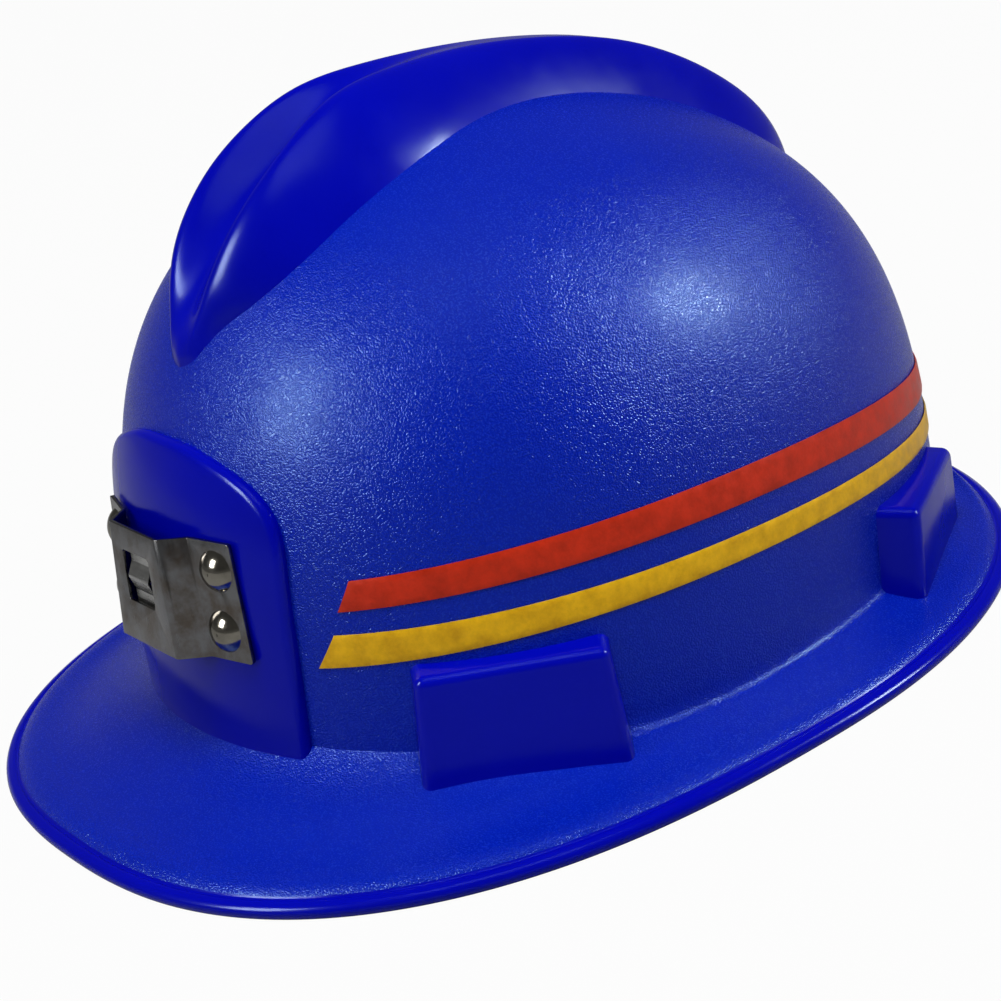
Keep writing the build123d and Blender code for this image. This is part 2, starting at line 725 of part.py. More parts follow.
def key_blank(spot, arm, turn_deg):
    """Tongue, web and slotted arm of a suspension key."""
    web_z = floor_z(spot.position.Y, KEY_FLOOR) - BLOCK_TOP_Z
    top = -POCKET_ROOF - GAP
    thick = POCKET_THICKNESS - GAP * 2
    tongue = Pos(0, (web_z + top) / 2, -BLOCK_WALL - POCKET_THICKNESS / 2) * Box(
        KEY_TONGUE_WIDTH, top - web_z, thick
    )
    reach = ARM_DEPTH - BLOCK_WALL - GAP
    web = Pos(0, web_z + KEY_WEB / 2, -BLOCK_WALL - GAP - reach / 2) * Box(KEY_WEB_WIDTH, KEY_WEB, reach)
    low = BLOCK_TOP_Z + web_z
    plate = frame_at(arm.X, arm.Y, 0, turn_deg) * Pos(0, (low + ARM_TOP_Z) / 2, 0) * Box(
        ARM_WIDTH, ARM_TOP_Z - low, ARM
    )
    slot = frame_at(arm.X, arm.Y, ARM_TOP_Z - STRAP_BAR_HEIGHT - STRAP_SLOT_HEIGHT / 2, turn_deg) * Box(
        STRAP_SLOT_WIDTH, STRAP_SLOT_HEIGHT, ARM * 4
    )
    return spot * (tongue + web) + plate - slot


def key_front():
    """A front key: its holder reaches the front band, square to it."""
    point, normal = band_point(STUD_TURN, BAND / 2 + GAP / 2)
    turn_deg = degrees(atan2(normal.Y, normal.X))
    reach = (FRONT_ARM - point).dot(normal)
    base = frame_at(point.X, point.Y, HOLDER_FOOT_Z, turn_deg)
    floor = base * Pos(0, HOLDER_FLOOR / 2, reach / 2) * Box(HOLDER_WIDTH, HOLDER_FLOOR, reach)
    plate = base * Pos(0, HOLDER_HEIGHT / 2, HOLDER_PLATE / 2) * Box(
        HOLDER_WIDTH, HOLDER_HEIGHT, HOLDER_PLATE
    )
    hole = stud_spot() * Cylinder(STUD_RADIUS + RIVET_FIT, HOLDER_HEIGHT)
    return key_blank(FRONT_SPOT, FRONT_ARM, STRAP_TURN_DEG) + floor + plate - hole


def key_rear(lane):
    """A rear key: its holder ends in a loop that the band's tail slides through."""
    away = REAR_ARM - Vector(0, BAND_Y, REAR_ARM.Z)
    turn_deg = degrees(atan2(away.Y, away.X))
    start = lane + BAND / 2 + GAP + GUIDE_WALL / 2
    floor = frame_at(0, BAND_Y, HOLDER_FOOT_Z, turn_deg) * Pos(
        0, HOLDER_HEIGHT / 2, (start + away.length) / 2
    ) * Box(HOLDER_WIDTH, HOLDER_HEIGHT, away.length - start)
    blank = key_blank(REAR_SPOT, REAR_ARM, -STRAP_TURN_DEG)
    return blank + floor + guide(lane, turn_deg - GUIDE_HALF_DEG, turn_deg + GUIDE_HALF_DEG)


def guide(lane, start, end):
    """A closed loop round a tail of the band, in the lane that it slides in."""
    half = TAIL_HEIGHT / 2 + GAP
    near = lane - BAND / 2 - GAP
    far = lane + BAND / 2 + GAP
    loop = sector(near - GUIDE_WALL, far + GUIDE_WALL, start, end, BAND_Z - half - GUIDE_WALL,
                  BAND_Z + half + GUIDE_WALL)
    return loop - sector(near, far, start - GUIDE_HALF_DEG, end + GUIDE_HALF_DEG, BAND_Z - half, BAND_Z + half)


def stud_spot():
    """A frame on the left stud's axis, at the inner face of the front band."""
    point, normal = band_point(STUD_TURN, -BAND / 2)
    turn_deg = degrees(atan2(normal.Y, normal.X))
    return frame_at(point.X, point.Y, HOLDER_FOOT_Z + HOLDER_HEIGHT / 2 + HOLDER_FLOOR / 2, turn_deg)


def band_stud():
    grip = BAND + GAP + HOLDER_PLATE
    head = Pos(0, 0, -STUD_HEAD / 2) * Cylinder(STUD_HEAD_RADIUS, STUD_HEAD)
    shank = Pos(0, 0, grip / 2) * Cylinder(STUD_RADIUS, grip)
    cap = Pos(0, 0, grip + STUD_CAP / 2) * Cylinder(STUD_CAP_RADIUS, STUD_CAP)
    return stud_spot() * Pos(0, 0, -GAP / 2) * (head + shank + cap)


def front_band():
    turns = [pi * (1 + number / BAND_POINT_COUNT) for number in range(BAND_POINT_COUNT + 1)]
    points = [band_point(turn, 0)[0] - Vector(0, 0, BAND_Z) for turn in turns]
    arc = Spline(*points, tangents=[(0, -1), (0, 1)])
    left = CenterArc((0, BAND_Y), BAND_HALF_WIDTH, 0, BAND_END_DEG)
    right = CenterArc((0, BAND_Y), BAND_HALF_WIDTH, 180 - BAND_END_DEG, BAND_END_DEG)
    path = right + arc + left
    band = Pos(0, 0, BAND_Z) * extrude(trace(path, line_width=BAND), BAND_HEIGHT / 2, both=True)
    for side in (1, -1):
        hole = stud_spot() * Cylinder(STUD_RADIUS + RIVET_FIT, HOLDER_HEIGHT)
        band -= hole if side > 0 else other_side(hole)
    for lane, side in ((LEFT_LANE, 1), (RIGHT_LANE, -1)):
        loop = guide(lane, GUIDE_START_DEG, GUIDE_END_DEG)
        far = lane + BAND / 2 + GAP + GUIDE_WALL / 2
        link = sector(far, BAND_HALF_WIDTH, GUIDE_START_DEG, GUIDE_END_DEG, BAND_Z - BAND_HEIGHT / 4,
                      BAND_Z + BAND_HEIGHT / 4)
        holder = loop + link
        band += holder if side > 0 else other_side(holder)
    return band


def rack_tooth():
    """One rack tooth, pointing down from its pitch line at zero, drawn in its own plane."""
    half = pi * MODULE / 4 - MODULE * BACKLASH_SHARE
    up = MODULE * TOOTH_DEDENDUM_SHARE
    down = MODULE * TOOTH_ADDENDUM_SHARE
    slope = TOOTH_SLOPE_SHARE
    points = [(-half - up * slope, up), (half + up * slope, up), (half - down * slope, -down),
              (-half + down * slope, -down)]
    return make_face(Polyline(*points, close=True))


def band_tail(lane):
    """The left tail: a curved strip whose slot carries rack teeth along its upper edge."""
    near = lane - BAND / 2
    far = lane + BAND / 2
    low = BAND_Z - TAIL_HEIGHT / 2
    strip = sector(near, far, TAIL_START_DEG, TAIL_END_DEG, low, low + TAIL_HEIGHT)
    ends = [edge for edge in strip.edges() if edge.length < BAND * 1.01]
    strip = fillet(ends, TAIL_CORNER)
    pitch_radius = MODULE * PINION_TEETH / 2
    root = pitch_radius + MODULE * TOOTH_DEDENDUM_SHARE
    strip -= sector(near - GAP, far + GAP, NAPE_DEG - SLOT_HALF_DEG, NAPE_DEG + SLOT_HALF_DEG,
                    BAND_Z - root - GAP, BAND_Z + root)
    step = degrees(pi * MODULE / lane)
    count = int(SLOT_HALF_DEG / step)
    teeth = []
    for number in range(-count, count + 1):
        tooth = extrude(Pos(0, pitch_radius, 0) * rack_tooth(), BAND)
        teeth.append(frame_at(0, BAND_Y, BAND_Z, NAPE_DEG + number * step) * Pos(0, 0, near) * tooth)
    return strip + teeth


def pinion():
    pitch_radius = MODULE * PINION_TEETH / 2
    tip = pitch_radius + MODULE * TOOTH_ADDENDUM_SHARE
    root = pitch_radius - MODULE * TOOTH_DEDENDUM_SHARE
    half = pi * MODULE / 4 - MODULE * BACKLASH_SHARE
    slope = TOOTH_SLOPE_SHARE
    outline = []
    for number in range(PINION_TEETH):
        turn = 90 + 180 / PINION_TEETH + 360 * number / PINION_TEETH
        for radius, aside in ((root, -half - (pitch_radius - root) * slope),
                              (tip, -half + (tip - pitch_radius) * slope),
                              (tip, half - (tip - pitch_radius) * slope),
                              (root, half + (pitch_radius - root) * slope)):
            corner = Vector(radius, aside, 0).rotate(Axis.Z, turn)
            outline.append((corner.X, corner.Y))
    depth = RIGHT_LANE - LEFT_LANE + BAND + GAP
    wheel = extrude(make_face(Polyline(*outline, close=True)), depth)
    wheel -= Cylinder(SHAFT_RADIUS + TURN_FIT / 2, depth * 4)
    return ratchet_spot(LEFT_LANE - BAND / 2 - GAP / 2) * wheel


def ratchet_spot(out):
    """A frame on the knob's axis, its z pointing out of the helmet's back."""
    return frame_at(0, BAND_Y + out, BAND_Z, NAPE_DEG)


def ratchet_housing():
    """The inner half of the ratchet box, with the passage for both tails."""
    half = RATCHET_HEIGHT / 2
    spread = degrees(asin(RATCHET_HALF_WIDTH / (RIGHT_LANE + BAND)))
    near = LEFT_LANE - BAND / 2 - GAP
    far = RIGHT_LANE + BAND / 2 + GAP
    pass_half = TAIL_HEIGHT / 2 + GAP
    box = sector(near - RATCHET_WALL, far, NAPE_DEG - spread, NAPE_DEG + spread, BAND_Z - half, BAND_Z + half)
    box -= sector(near, far * 2, 0, 180, BAND_Z - pass_half, BAND_Z + pass_half)
    return box - ratchet_spot(near) * Cylinder(SCREW_RADIUS + RIVET_FIT / 2, RATCHET_WALL * 4)


def ratchet_cover():
    """The outer half of the ratchet box, recessed for the detent wheel and the pawl spring."""
    near = RIGHT_LANE + BAND / 2 + GAP + TURN_FIT
    tall = RATCHET_HEIGHT
    low = sqrt(near**2 - RATCHET_HALF_WIDTH**2)
    deep = COVER_REACH - low
    box = ratchet_spot(low + deep / 2) * Box(RATCHET_HALF_WIDTH * 2, tall, deep)
    upright = box.edges().filter_by(Axis.Z).sort_by(Axis.Y)[2:]
    box = fillet(upright, COVER_CORNER)
    box -= Pos(0, BAND_Y, BAND_Z) * Cylinder(near, tall * 2)
    face = ratchet_spot(COVER_REACH)
    recess = face * Cylinder(RECESS_RADIUS, RECESS_DEPTH * 2)
    high = (PAWL_POCKET_TOP + PAWL_POCKET_FOOT) / 2
    side = face * Pos(0, high, 0) * Box(
        PAWL_POCKET_HALF * 2, PAWL_POCKET_TOP - PAWL_POCKET_FOOT, RECESS_DEPTH * 2
    )
    return box - recess - side - face * Cylinder(SHAFT_RADIUS + TURN_FIT, tall)


def ratchet_knob():
    """A fluted knob with its detent wheel and shaft in one piece."""
    out = COVER_REACH + GAP
    disc = Circle(KNOB_RADIUS)
    for number in range(KNOB_FLUTES):
        disc -= Rot(0, 0, 360 * number / KNOB_FLUTES) * Pos(KNOB_RADIUS + FLUTE_OUT, 0) * Circle(FLUTE_RADIUS)
    grip = extrude(disc, KNOB_HEIGHT)
    grip = chamfer(grip.faces().sort_by(Axis.Z)[-1].edges(), KNOB_EDGE)
    points = []
    for number in range(WHEEL_TEETH * 2):
        radius = WHEEL_RADIUS - (WHEEL_TOOTH if number % 2 else 0)
        turn = pi / 2 + pi * (number + 1) / WHEEL_TEETH
        points.append((radius * cos(turn), radius * sin(turn)))
    wheel = Pos(0, 0, -WHEEL - GAP) * extrude(make_face(Polyline(*points, close=True)), WHEEL + GAP)
    near = LEFT_LANE - BAND / 2 - GAP / 2
    shaft = Pos(0, 0, (near - out) / 2) * Cylinder(SHAFT_RADIUS, out - near)
    body = grip + wheel + shaft
    body -= Pos(0, 0, KNOB_HEIGHT) * Cylinder(SCREW_RECESS_RADIUS, SCREW_RECESS * 2)
    return ratchet_spot(out) * (body - Cylinder(SCREW_RADIUS + TURN_FIT, COVER_REACH))


def ratchet_screw():
    """The screw that the knob turns on, its tip in the housing's inner wall."""
    floor = COVER_REACH + GAP + KNOB_HEIGHT - SCREW_RECESS + TURN_FIT
    tip = LEFT_LANE - BAND / 2 - GAP - RATCHET_WALL
    head = Pos(0, 0, SCREW_HEAD / 2) * Cylinder(SCREW_HEAD_RADIUS, SCREW_HEAD)
    slot = Pos(0, 0, SCREW_HEAD) * Box(SCREW_HEAD_RADIUS * 4, SCREW_SLOT, SCREW_SLOT * 2)
    shank = Pos(0, 0, (tip - floor) / 2) * Cylinder(SCREW_RADIUS, floor - tip)
    return ratchet_spot(floor) * (head - slot + shank)


def pawl_spring():
    """A bent strip over the detent wheel, its tip just clear of the teeth."""
    tip = WHEEL_RADIUS + GAP + PAWL / 2
    points = [(PAWL_START, PAWL_Z - PAWL_NOTCH), (PAWL_START, PAWL_Z), (-PAWL_END, PAWL_Z), (0, tip),
              (PAWL_END, PAWL_Z)]
    strip = trace(FilletPolyline(*points, radius=PAWL / 2), line_width=PAWL)
    return ratchet_spot(COVER_REACH - RECESS_DEPTH + GAP) * extrude(strip, PAWL_WIDTH)


def strap(rise):
    """The strap from the left front key to the right rear key, looped round both bars."""
    bar = ARM_TOP_Z - STRAP_BAR_HEIGHT
    inner = STRAP_SPAN - ARM / 2 - GAP - STRAP / 2
    outer = STRAP_SPAN + ARM / 2 + GAP + STRAP / 2
    low = bar - GAP - STRAP / 2
    tall = STRAP_TOP_Z + rise - STRAP / 2 - low
    arch = [(inner * out, low + tall * up) for out, up in STRAP_ARCH_SHARES]
    loop = [(outer, low + STRAP_TAIL), (outer, low), (inner, low), (inner, low + STRAP_STRAIGHT)]
    right = FilletPolyline(*loop, radius=STRAP_TURN)
    left = FilletPolyline(*[(-x, y) for x, y in loop], radius=STRAP_TURN)
    points = [loop[3]] + arch + [(0, low + tall)] + [(-x, y) for x, y in reversed(arch)]
    points.append((-loop[3][0], loop[3][1]))
    top = Spline(*points, tangents=[(0, 1), (0, -1)])
    face = trace(right, line_width=STRAP) + trace(top, line_width=STRAP) + trace(left, line_width=STRAP)
    turn = radians(STRAP_TURN_DEG)
    middle = (FRONT_ARM + Vector(-REAR_ARM.X, REAR_ARM.Y, REAR_ARM.Z)) / 2
    plane = Plane((middle.X, middle.Y, 0), x_dir=(cos(turn), sin(turn), 0), z_dir=(sin(turn), -cos(turn), 0))
    return plane * extrude(face, STRAP_WIDTH / 2, both=True)


def crown_pad():
    """A cushion under the crossing, its skin following the straps."""
    cross_y = FRONT_ARM.Y + (REAR_ARM.Y - FRONT_ARM.Y) * FRONT_ARM.X / (FRONT_ARM.X + REAR_ARM.X)
    top = STRAP_TOP_Z - STRAP - GAP
    centre = Pos(0, cross_y, top - CROWN_PAD_CURVE)
    ball = centre * Sphere(CROWN_PAD_CURVE) - centre * Sphere(CROWN_PAD_CURVE - CROWN_PAD_THICKNESS)
    pad = ball & (Pos(0, cross_y, top) * Cylinder(CROWN_PAD_RADIUS, CROWN_PAD_CURVE / 2))
    return fillet(pad.edges().filter_by(GeomType.CIRCLE), CROWN_PAD_EDGE)


def brow_pad():
    """The sweat band's cushion inside the front band."""
    outer = -BAND / 2 - STUD_HEAD - GAP
    start = -pi / 2 - radians(BROW_HALF_DEG)
    step = radians(BROW_HALF_DEG) * 2 / BAND_POINT_COUNT
    turns = [start + step * number for number in range(BAND_POINT_COUNT + 1)]
    out = Vector(0, 0, BAND_Z)
    outside = [band_point(turn, outer)[0] - out for turn in turns]
    inside = [band_point(turn, outer - BROW_THICKNESS)[0] - out for turn in turns]
    outline = Spline(*outside) + Line(outside[-1], inside[-1]) + Spline(*reversed(inside))
    outline += Line(inside[0], outside[0])
    pad = Pos(0, 0, BAND_Z) * extrude(make_face(outline), BROW_HEIGHT / 2, both=True)
    return fillet(pad.edges(), BROW_EDGE)


def nape_pad():
    """The cushion in front of the ratchet box."""
    far = LEFT_LANE - BAND / 2 - GAP * 2 - RATCHET_WALL
    half = NAPE_HEIGHT / 2
    pad = sector(far - NAPE_THICKNESS, far, NAPE_DEG - NAPE_HALF_DEG, NAPE_DEG + NAPE_HALF_DEG, BAND_Z - half, BAND_Z + half)
    return fillet(pad.edges(), NAPE_EDGE)


def cable_clip():
    """A bent clip: a riveted plate whose end curls round the lamp's cord."""
    middle = SHEET / 2
    rise = middle + CABLE_RADIUS + SHEET / 2
    arc = CenterArc((0, rise), CABLE_RADIUS + SHEET / 2, -90, 360 - CLIP_OPEN_DEG - 90)
    path = Line((-CLIP_RIVET_X - CLIP_PLATE_END, middle), (0, middle)) + arc
    face = Rot(90, 0, 0) * trace(path, line_width=SHEET)
    clip = Pos(CLIP_RIVET_X, 0, 0) * extrude(face, CLIP_HEIGHT / 2, both=True)
    return clip - Cylinder(RIVET_RADIUS + RIVET_FIT, SHEET * 4)


def save(name, shape):
    """Write one node, moved from the dome's frame to the frame of the whole helmet."""
    export_step(SEAT * shape, f"parts/{name}.step")


export_step(shell(), "parts/shell.step")

thin_skin = dome_skin(TAPE_LIFT + TAPE_THICKNESS) - dome_skin(TAPE_LIFT)
for name, top_shares, foot_shares in (
    ("red_tape", RED_TOP_SHARES, RED_FOOT_SHARES),
    ("yellow_tape", YELLOW_TOP_SHARES, YELLOW_FOOT_SHARES),
):
    strip = tape(top_shares, foot_shares, thin_skin)
    export_step(strip, f"parts/{name}_left.step")
    export_step(other_side(strip), f"parts/{name}_right.step")

save("lamp_bracket", BRACKET_SPOT * lamp_bracket())
save("bracket_spring", BRACKET_SPOT * bracket_leaf())
bracket_rivet = rivet(RIVET_GRIP, RIVET_HEAD_RADIUS, RIVET_HEAD_HEIGHT)
save("bracket_rivets", Compound([BRACKET_SPOT * spot * bracket_rivet for spot in rivet_spots()]))
washer_spots = [BRACKET_SPOT * spot * Pos(0, 0, -SHELL_GRIP - WASHER / 2) for spot in rivet_spots()]
washer_spots.append(CLIP_SPOT * Pos(0, 0, SHEET - SHELL_GRIP + PAD_RISE - WASHER / 2))
save("rivet_washers", Compound([spot * washer() for spot in washer_spots]))
save("cable_clip", CLIP_SPOT * cable_clip())
clip_rivet = rivet(CLIP_GRIP, CLIP_RIVET_HEAD_RADIUS, CLIP_RIVET_HEAD_HEIGHT)
save("cable_clip_rivet", CLIP_SPOT * Pos(0, 0, SHEET) * clip_rivet)

save("key_front_left", key_front())
save("key_front_right", other_side(key_front()))
save("key_rear_left", key_rear(LEFT_LANE))
save("key_rear_right", other_side(key_rear(RIGHT_LANE)))
save("crown_strap_lower", strap(0))
save("crown_strap_upper", other_side(strap(STRAP_CROSS_RISE)))
save("crown_pad", crown_pad())

save("front_band", front_band())
save("brow_pad", brow_pad())
save("band_studs", Compound([band_stud(), other_side(band_stud())]))
save("band_tail_left", band_tail(LEFT_LANE))
save("band_tail_right", mirror(other_side(band_tail(RIGHT_LANE)), about=Plane.XY.offset(BAND_Z)))
save("ratchet_housing", ratchet_housing())
save("ratchet_cover", ratchet_cover())
save("ratchet_knob", ratchet_knob())
save("pinion", pinion())
save("pawl_spring", pawl_spring())
save("ratchet_screw", ratchet_screw())
save("nape_pad", nape_pad())
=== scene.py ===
import bpy
import bmesh
import math
import numpy as np
from mathutils import Matrix, Vector


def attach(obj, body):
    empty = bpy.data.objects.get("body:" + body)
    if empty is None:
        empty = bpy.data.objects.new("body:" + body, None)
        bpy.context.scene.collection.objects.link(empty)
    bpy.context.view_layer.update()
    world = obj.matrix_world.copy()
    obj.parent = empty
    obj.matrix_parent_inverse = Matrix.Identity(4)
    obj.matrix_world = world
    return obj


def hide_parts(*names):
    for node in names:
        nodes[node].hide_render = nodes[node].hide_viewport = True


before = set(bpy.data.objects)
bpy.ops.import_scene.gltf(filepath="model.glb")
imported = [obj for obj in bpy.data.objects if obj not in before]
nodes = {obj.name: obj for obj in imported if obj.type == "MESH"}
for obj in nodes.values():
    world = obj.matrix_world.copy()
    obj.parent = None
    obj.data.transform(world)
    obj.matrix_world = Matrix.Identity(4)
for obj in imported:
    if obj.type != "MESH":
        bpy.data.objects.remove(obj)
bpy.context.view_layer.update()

# Sizes of the moulding, in metres. They follow the solids, apart from those said to be this scene's.
BRIM_LENGTH = 0.3000
BRIM_WIDTH = 0.2610
BRIM_CENTRE_Y = 0.0070
BRIM_FRONT_POWER = 2.44
BRIM_REAR_POWER = 2.26
EDGE_HEIGHT = 0.0038
EDGE_ROUND = 0.0011
RIM_WIDTH = 0.0036
RIM_OVERRUN = 0.001
RIM_BLEND_SHARE = 0.16
# This scene's border on top of the brim, from its edge inwards: how far in, and how far the surface
# is raised there.
BORDER = ((0.0008, 0.00012), (0.0019, 0.00006), (0.0026, -0.00042), (0.0034, 0.0))
WALL = 0.0026
DOME_HALF_WIDTH = 0.1032
DOME_FRONT = 0.1119
DOME_REAR = 0.1330
DOME_CENTRE_Y = 0.0093
DOME_BASE_Z = 0.0148
CROWN_Z = 0.1592
DOME_FRONT_POWER = 2.07
DOME_REAR_POWER = 2.03
DOME_CENTRE_LEAN = 0.03
PROFILE_RISE_POWER = 3.27
PROFILE_ROUND_POWER = 1.83
DOME_PITCH = math.radians(4.18)
DOME_LIFT = 0.001
CORNER_HEIGHT = 0.0096
CORNER_FRONT_RISE = 0.008
# The flare from wall to brim, which the inner skin follows: how far up the wall it starts, what share of
# the way to the brim's edge it takes, and how far its middle is drawn from the corner.
FLARE_UP = 0.0048
FLARE_OUT_SHARE = 0.22
BEND_SHARE = 0.3
# The outer skin has this scene's own crease there instead, in the same terms: first at the sides and rear,
# then at the front. The change from the one to the other begins at this sine of the direction ahead and
# takes up this much more of it.
CREASE_SIDE = (0.0014, 0.07)
CREASE_FRONT = (0.0044, 0.40)
CREASE_CHANGE = (0.25, 0.5)
CREASE_ROWS = 11
LEVEL_SHARES = (0.11, 0.22, 0.34, 0.46, 0.57, 0.67, 0.76, 0.84, 0.905, 0.95, 0.98, 0.996)
SEARCH_STEPS = 40

CREST_HEIGHT = 0.018
CREST_HALF_WIDTH = 0.029
RIDGE_SPREAD = 0.0138
VALLEY_DEPTH = 0.009
CREST_PIVOT = (0.008, 0.060)
CREST_START = math.radians(25)
CREST_END = math.radians(163)
CREST_FOOT_OUT = 0.0013
CREST_FOOT_DEPTH = 0.0022
CREST_ROOT_DEPTH = 0.0075
# Each station: share of the turn, then shares of half width, spread, height and valley depth. The first
# seven, which shape the nose, are this scene's own.
CREST_STATIONS = (
    (0.000, 0.12, 0.10, -0.17, 0.00), (0.030, 0.28, 0.24, 0.07, -0.06), (0.060, 0.42, 0.46, 0.19, 0.06),
    (0.095, 0.67, 0.68, 0.36, 0.40), (0.130, 0.84, 0.84, 0.53, 0.66), (0.167, 0.94, 0.94, 0.67, 0.86),
    (0.220, 0.99, 1.00, 0.82, 1.00), (0.270, 1.00, 0.90, 0.93, 0.98), (0.325, 0.97, 0.74, 0.98, 0.70),
    (0.390, 0.88, 0.55, 0.87, 0.26), (0.470, 0.71, 0.36, 0.77, 0.03), (0.580, 0.56, 0.27, 0.76, 0.00),
    (0.700, 0.49, 0.24, 0.79, 0.00), (0.815, 0.46, 0.23, 0.72, 0.00), (0.900, 0.41, 0.20, 0.55, 0.00),
    (0.960, 0.24, 0.13, 0.18, 0.00), (1.000, 0.08, 0.06, -0.18, 0.00),
)
FLANK_OUT_SHARE = 0.22
FLANK_UP_SHARE = 0.42
RIDGE_HANDLE_SHARE = 0.26
VALLEY_RIDGE_SHARE = 0.22
VALLEY_FLOOR_SHARE = 0.38
REACH_SEARCH = 0.2
PAD_RISE = 0.003
PAD_HALF_WIDTH = 0.0450
PAD_TOP_Z = 0.0933
PAD_EDGE = 0.0024
# This scene's: how deep the pad reaches into the dome, and the height from which its rings spread.
PAD_ROOT = 0.004
PAD_MIDDLE_Z = 0.045
PAD_OUTLINE = (
    (0.93, 0.02), (0.96, 0.228), (0.985, 0.379), (0.998, 0.547), (1.0, 0.656), (0.985, 0.765),
    (0.94, 0.828), (0.85, 0.882), (0.69, 0.932), (0.507, 0.966), (0.30, 0.991),
)
BLOCK_SPOTS = (((0.0913, -0.0590), math.radians(-32)), ((0.0890, 0.0920), math.radians(35)))
BLOCK_WIDTH_TOP = 0.050
BLOCK_WIDTH_FOOT = 0.055
BLOCK_TOP_Z = 0.0366
BLOCK_SPREAD_HEIGHT = 0.032
BLOCK_DRAFT = 0.07
BLOCK_DEPTH = 0.017
BLOCK_EDGE = 0.0026
BLOCK_WALL = 0.0025
BLOCK_FOOT_HEIGHT = 0.0018
# The pocket in each block: width, thickness and how far its roof is below the block's top.
POCKET = (0.038, 0.0044, 0.004)

# The tapes' film, this scene's own: how far out its face lies, and how thick it is.
TAPE_OUT = 0.0004
TAPE_THICKNESS = 0.0002
TAPE_SPAN = 0.140
TAPE_RISE = 0.068
TAPE_REAR_X = 0.022
# Each tape's top and lower edge, as arcs through three points (along, up) of the side view.
TAPES = {
    "red_tape": (
        ((-0.593, 0.894), (0.071, 0.996), (0.979, 0.816)),
        ((-0.614, 0.771), (0.071, 0.863), (0.979, 0.687)),
    ),
    "yellow_tape": (
        ((-0.624, 0.676), (0.179, 0.750), (0.979, 0.625)),
        ((-0.647, 0.537), (0.179, 0.650), (0.979, 0.525)),
    ),
}


def to_rest(points):
    """Dome frame to the frame in which the helmet stands on its brim."""
    p = np.asarray(points, float)
    c, s = math.cos(DOME_PITCH), math.sin(DOME_PITCH)
    return np.stack([p[..., 0], p[..., 1] * c + p[..., 2] * s, p[..., 2] * c - p[..., 1] * s + DOME_LIFT], -1)


def oval(x, y, half_width, front, rear, front_power, rear_power):
    """1 on an oval whose front and rear have their own length and fullness, and less inside it."""
    length = np.where(y > 0, rear, front)
    power = np.where(y > 0, rear_power, front_power)
    return (np.abs(x / half_width) ** power + np.abs(y / length) ** power) ** (1 / power)


def dome_oval(x, y):
    return oval(x, y, DOME_HALF_WIDTH, DOME_FRONT, DOME_REAR, DOME_FRONT_POWER, DOME_REAR_POWER)


def brim_oval(x, y):
    half = BRIM_LENGTH / 2
    front, rear = half + BRIM_CENTRE_Y, half - BRIM_CENTRE_Y
    return oval(x, y, BRIM_WIDTH / 2, front, rear, BRIM_FRONT_POWER, BRIM_REAR_POWER)


def level_scale(z):
    """Size of the dome's level at this height, as a share of its base."""
    rise = np.clip((z - DOME_BASE_Z) / (CROWN_Z - DOME_BASE_Z), 0, 1)
    return (1 - rise ** PROFILE_RISE_POWER) ** (1 / PROFILE_ROUND_POWER)


def level_centre(z):
    return DOME_CENTRE_Y - DOME_CENTRE_LEAN * np.maximum(z - DOME_BASE_Z, 0)


def dome_point(turn, z):
    """A point of the plain dome, in its own frame, in this plan direction and at this height."""
    reach = level_scale(z) / dome_oval(np.cos(turn), np.sin(turn))
    return np.stack([reach * np.cos(turn), level_centre(z) + reach * np.sin(turn), z + 0 * reach], -1)


def brim_point(turn, inset, height):
    reach = 1 / brim_oval(np.cos(turn), np.sin(turn)) - inset
    return np.stack([reach * np.cos(turn), BRIM_CENTRE_Y + reach * np.sin(turn), height + 0 * reach], -1)


def wall_at_height(turn, height):
    """The dome's point that stands at this height above the ground."""
    z = height + 0 * turn
    for _ in range(SEARCH_STEPS):
        z = z + height - to_rest(dome_point(turn, z))[..., 2]
    return to_rest(dome_point(turn, z))


def smooth_through(points, counts):
    """Rows of points joined by a natural cubic down each column, with this many steps between two rows."""
    p = np.asarray(points, float)
    gap = np.linalg.norm(np.diff(p, axis=0), axis=-1).mean(1)
    n = len(p)
    a = np.zeros((n, n))
    b = np.zeros(p.shape)
    a[0, 0] = a[-1, -1] = 1
    for i in range(1, n - 1):
        a[i, i - 1:i + 2] = gap[i - 1], 2 * (gap[i - 1] + gap[i]), gap[i]
        b[i] = 6 * ((p[i + 1] - p[i]) / gap[i] - (p[i] - p[i - 1]) / gap[i - 1])
    m = np.linalg.solve(a, b.reshape(n, -1)).reshape(p.shape)
    rows = []
    for i, count in enumerate(counts):
        g = gap[i]
        for k in range(count):
            u = g * k / count
            v = g - u
            bow = (m[i] * v ** 3 + m[i + 1] * u ** 3) / (6 * g)
            rows.append(bow + (p[i] / g - m[i] * g / 6) * v + (p[i + 1] / g - m[i + 1] * g / 6) * u)
    rows.append(p[-1])
    return np.array(rows)


def new_piece(name, points, faces):
    """An object of this scene with these points and faces."""
    mesh = bpy.data.meshes.new(name)
    mesh.from_pydata([tuple(p) for p in points.reshape(-1, 3)], [], faces)
    mesh.update()
    piece = bpy.data.objects.new(name, mesh)
    bpy.context.scene.collection.objects.link(piece)
    return piece


def grid_mesh(name, rows, around=True, start=False, end=False):
    """A skin of quads over rows of points, closed round each row and capped at its ends as asked."""
    rows = np.asarray(rows, float)
    r, c, _ = rows.shape
    last = c if around else c - 1
    faces = []
    for i in range(r - 1):
        for j in range(last):
            k = (j + 1) % c
            faces.append((i * c + j, i * c + k, (i + 1) * c + k, (i + 1) * c + j))
    if start:
        faces.append(tuple(range(c))[::-1])
    if end:
        faces.append(tuple((r - 1) * c + j for j in range(c)))
    return new_piece(name, rows, faces)


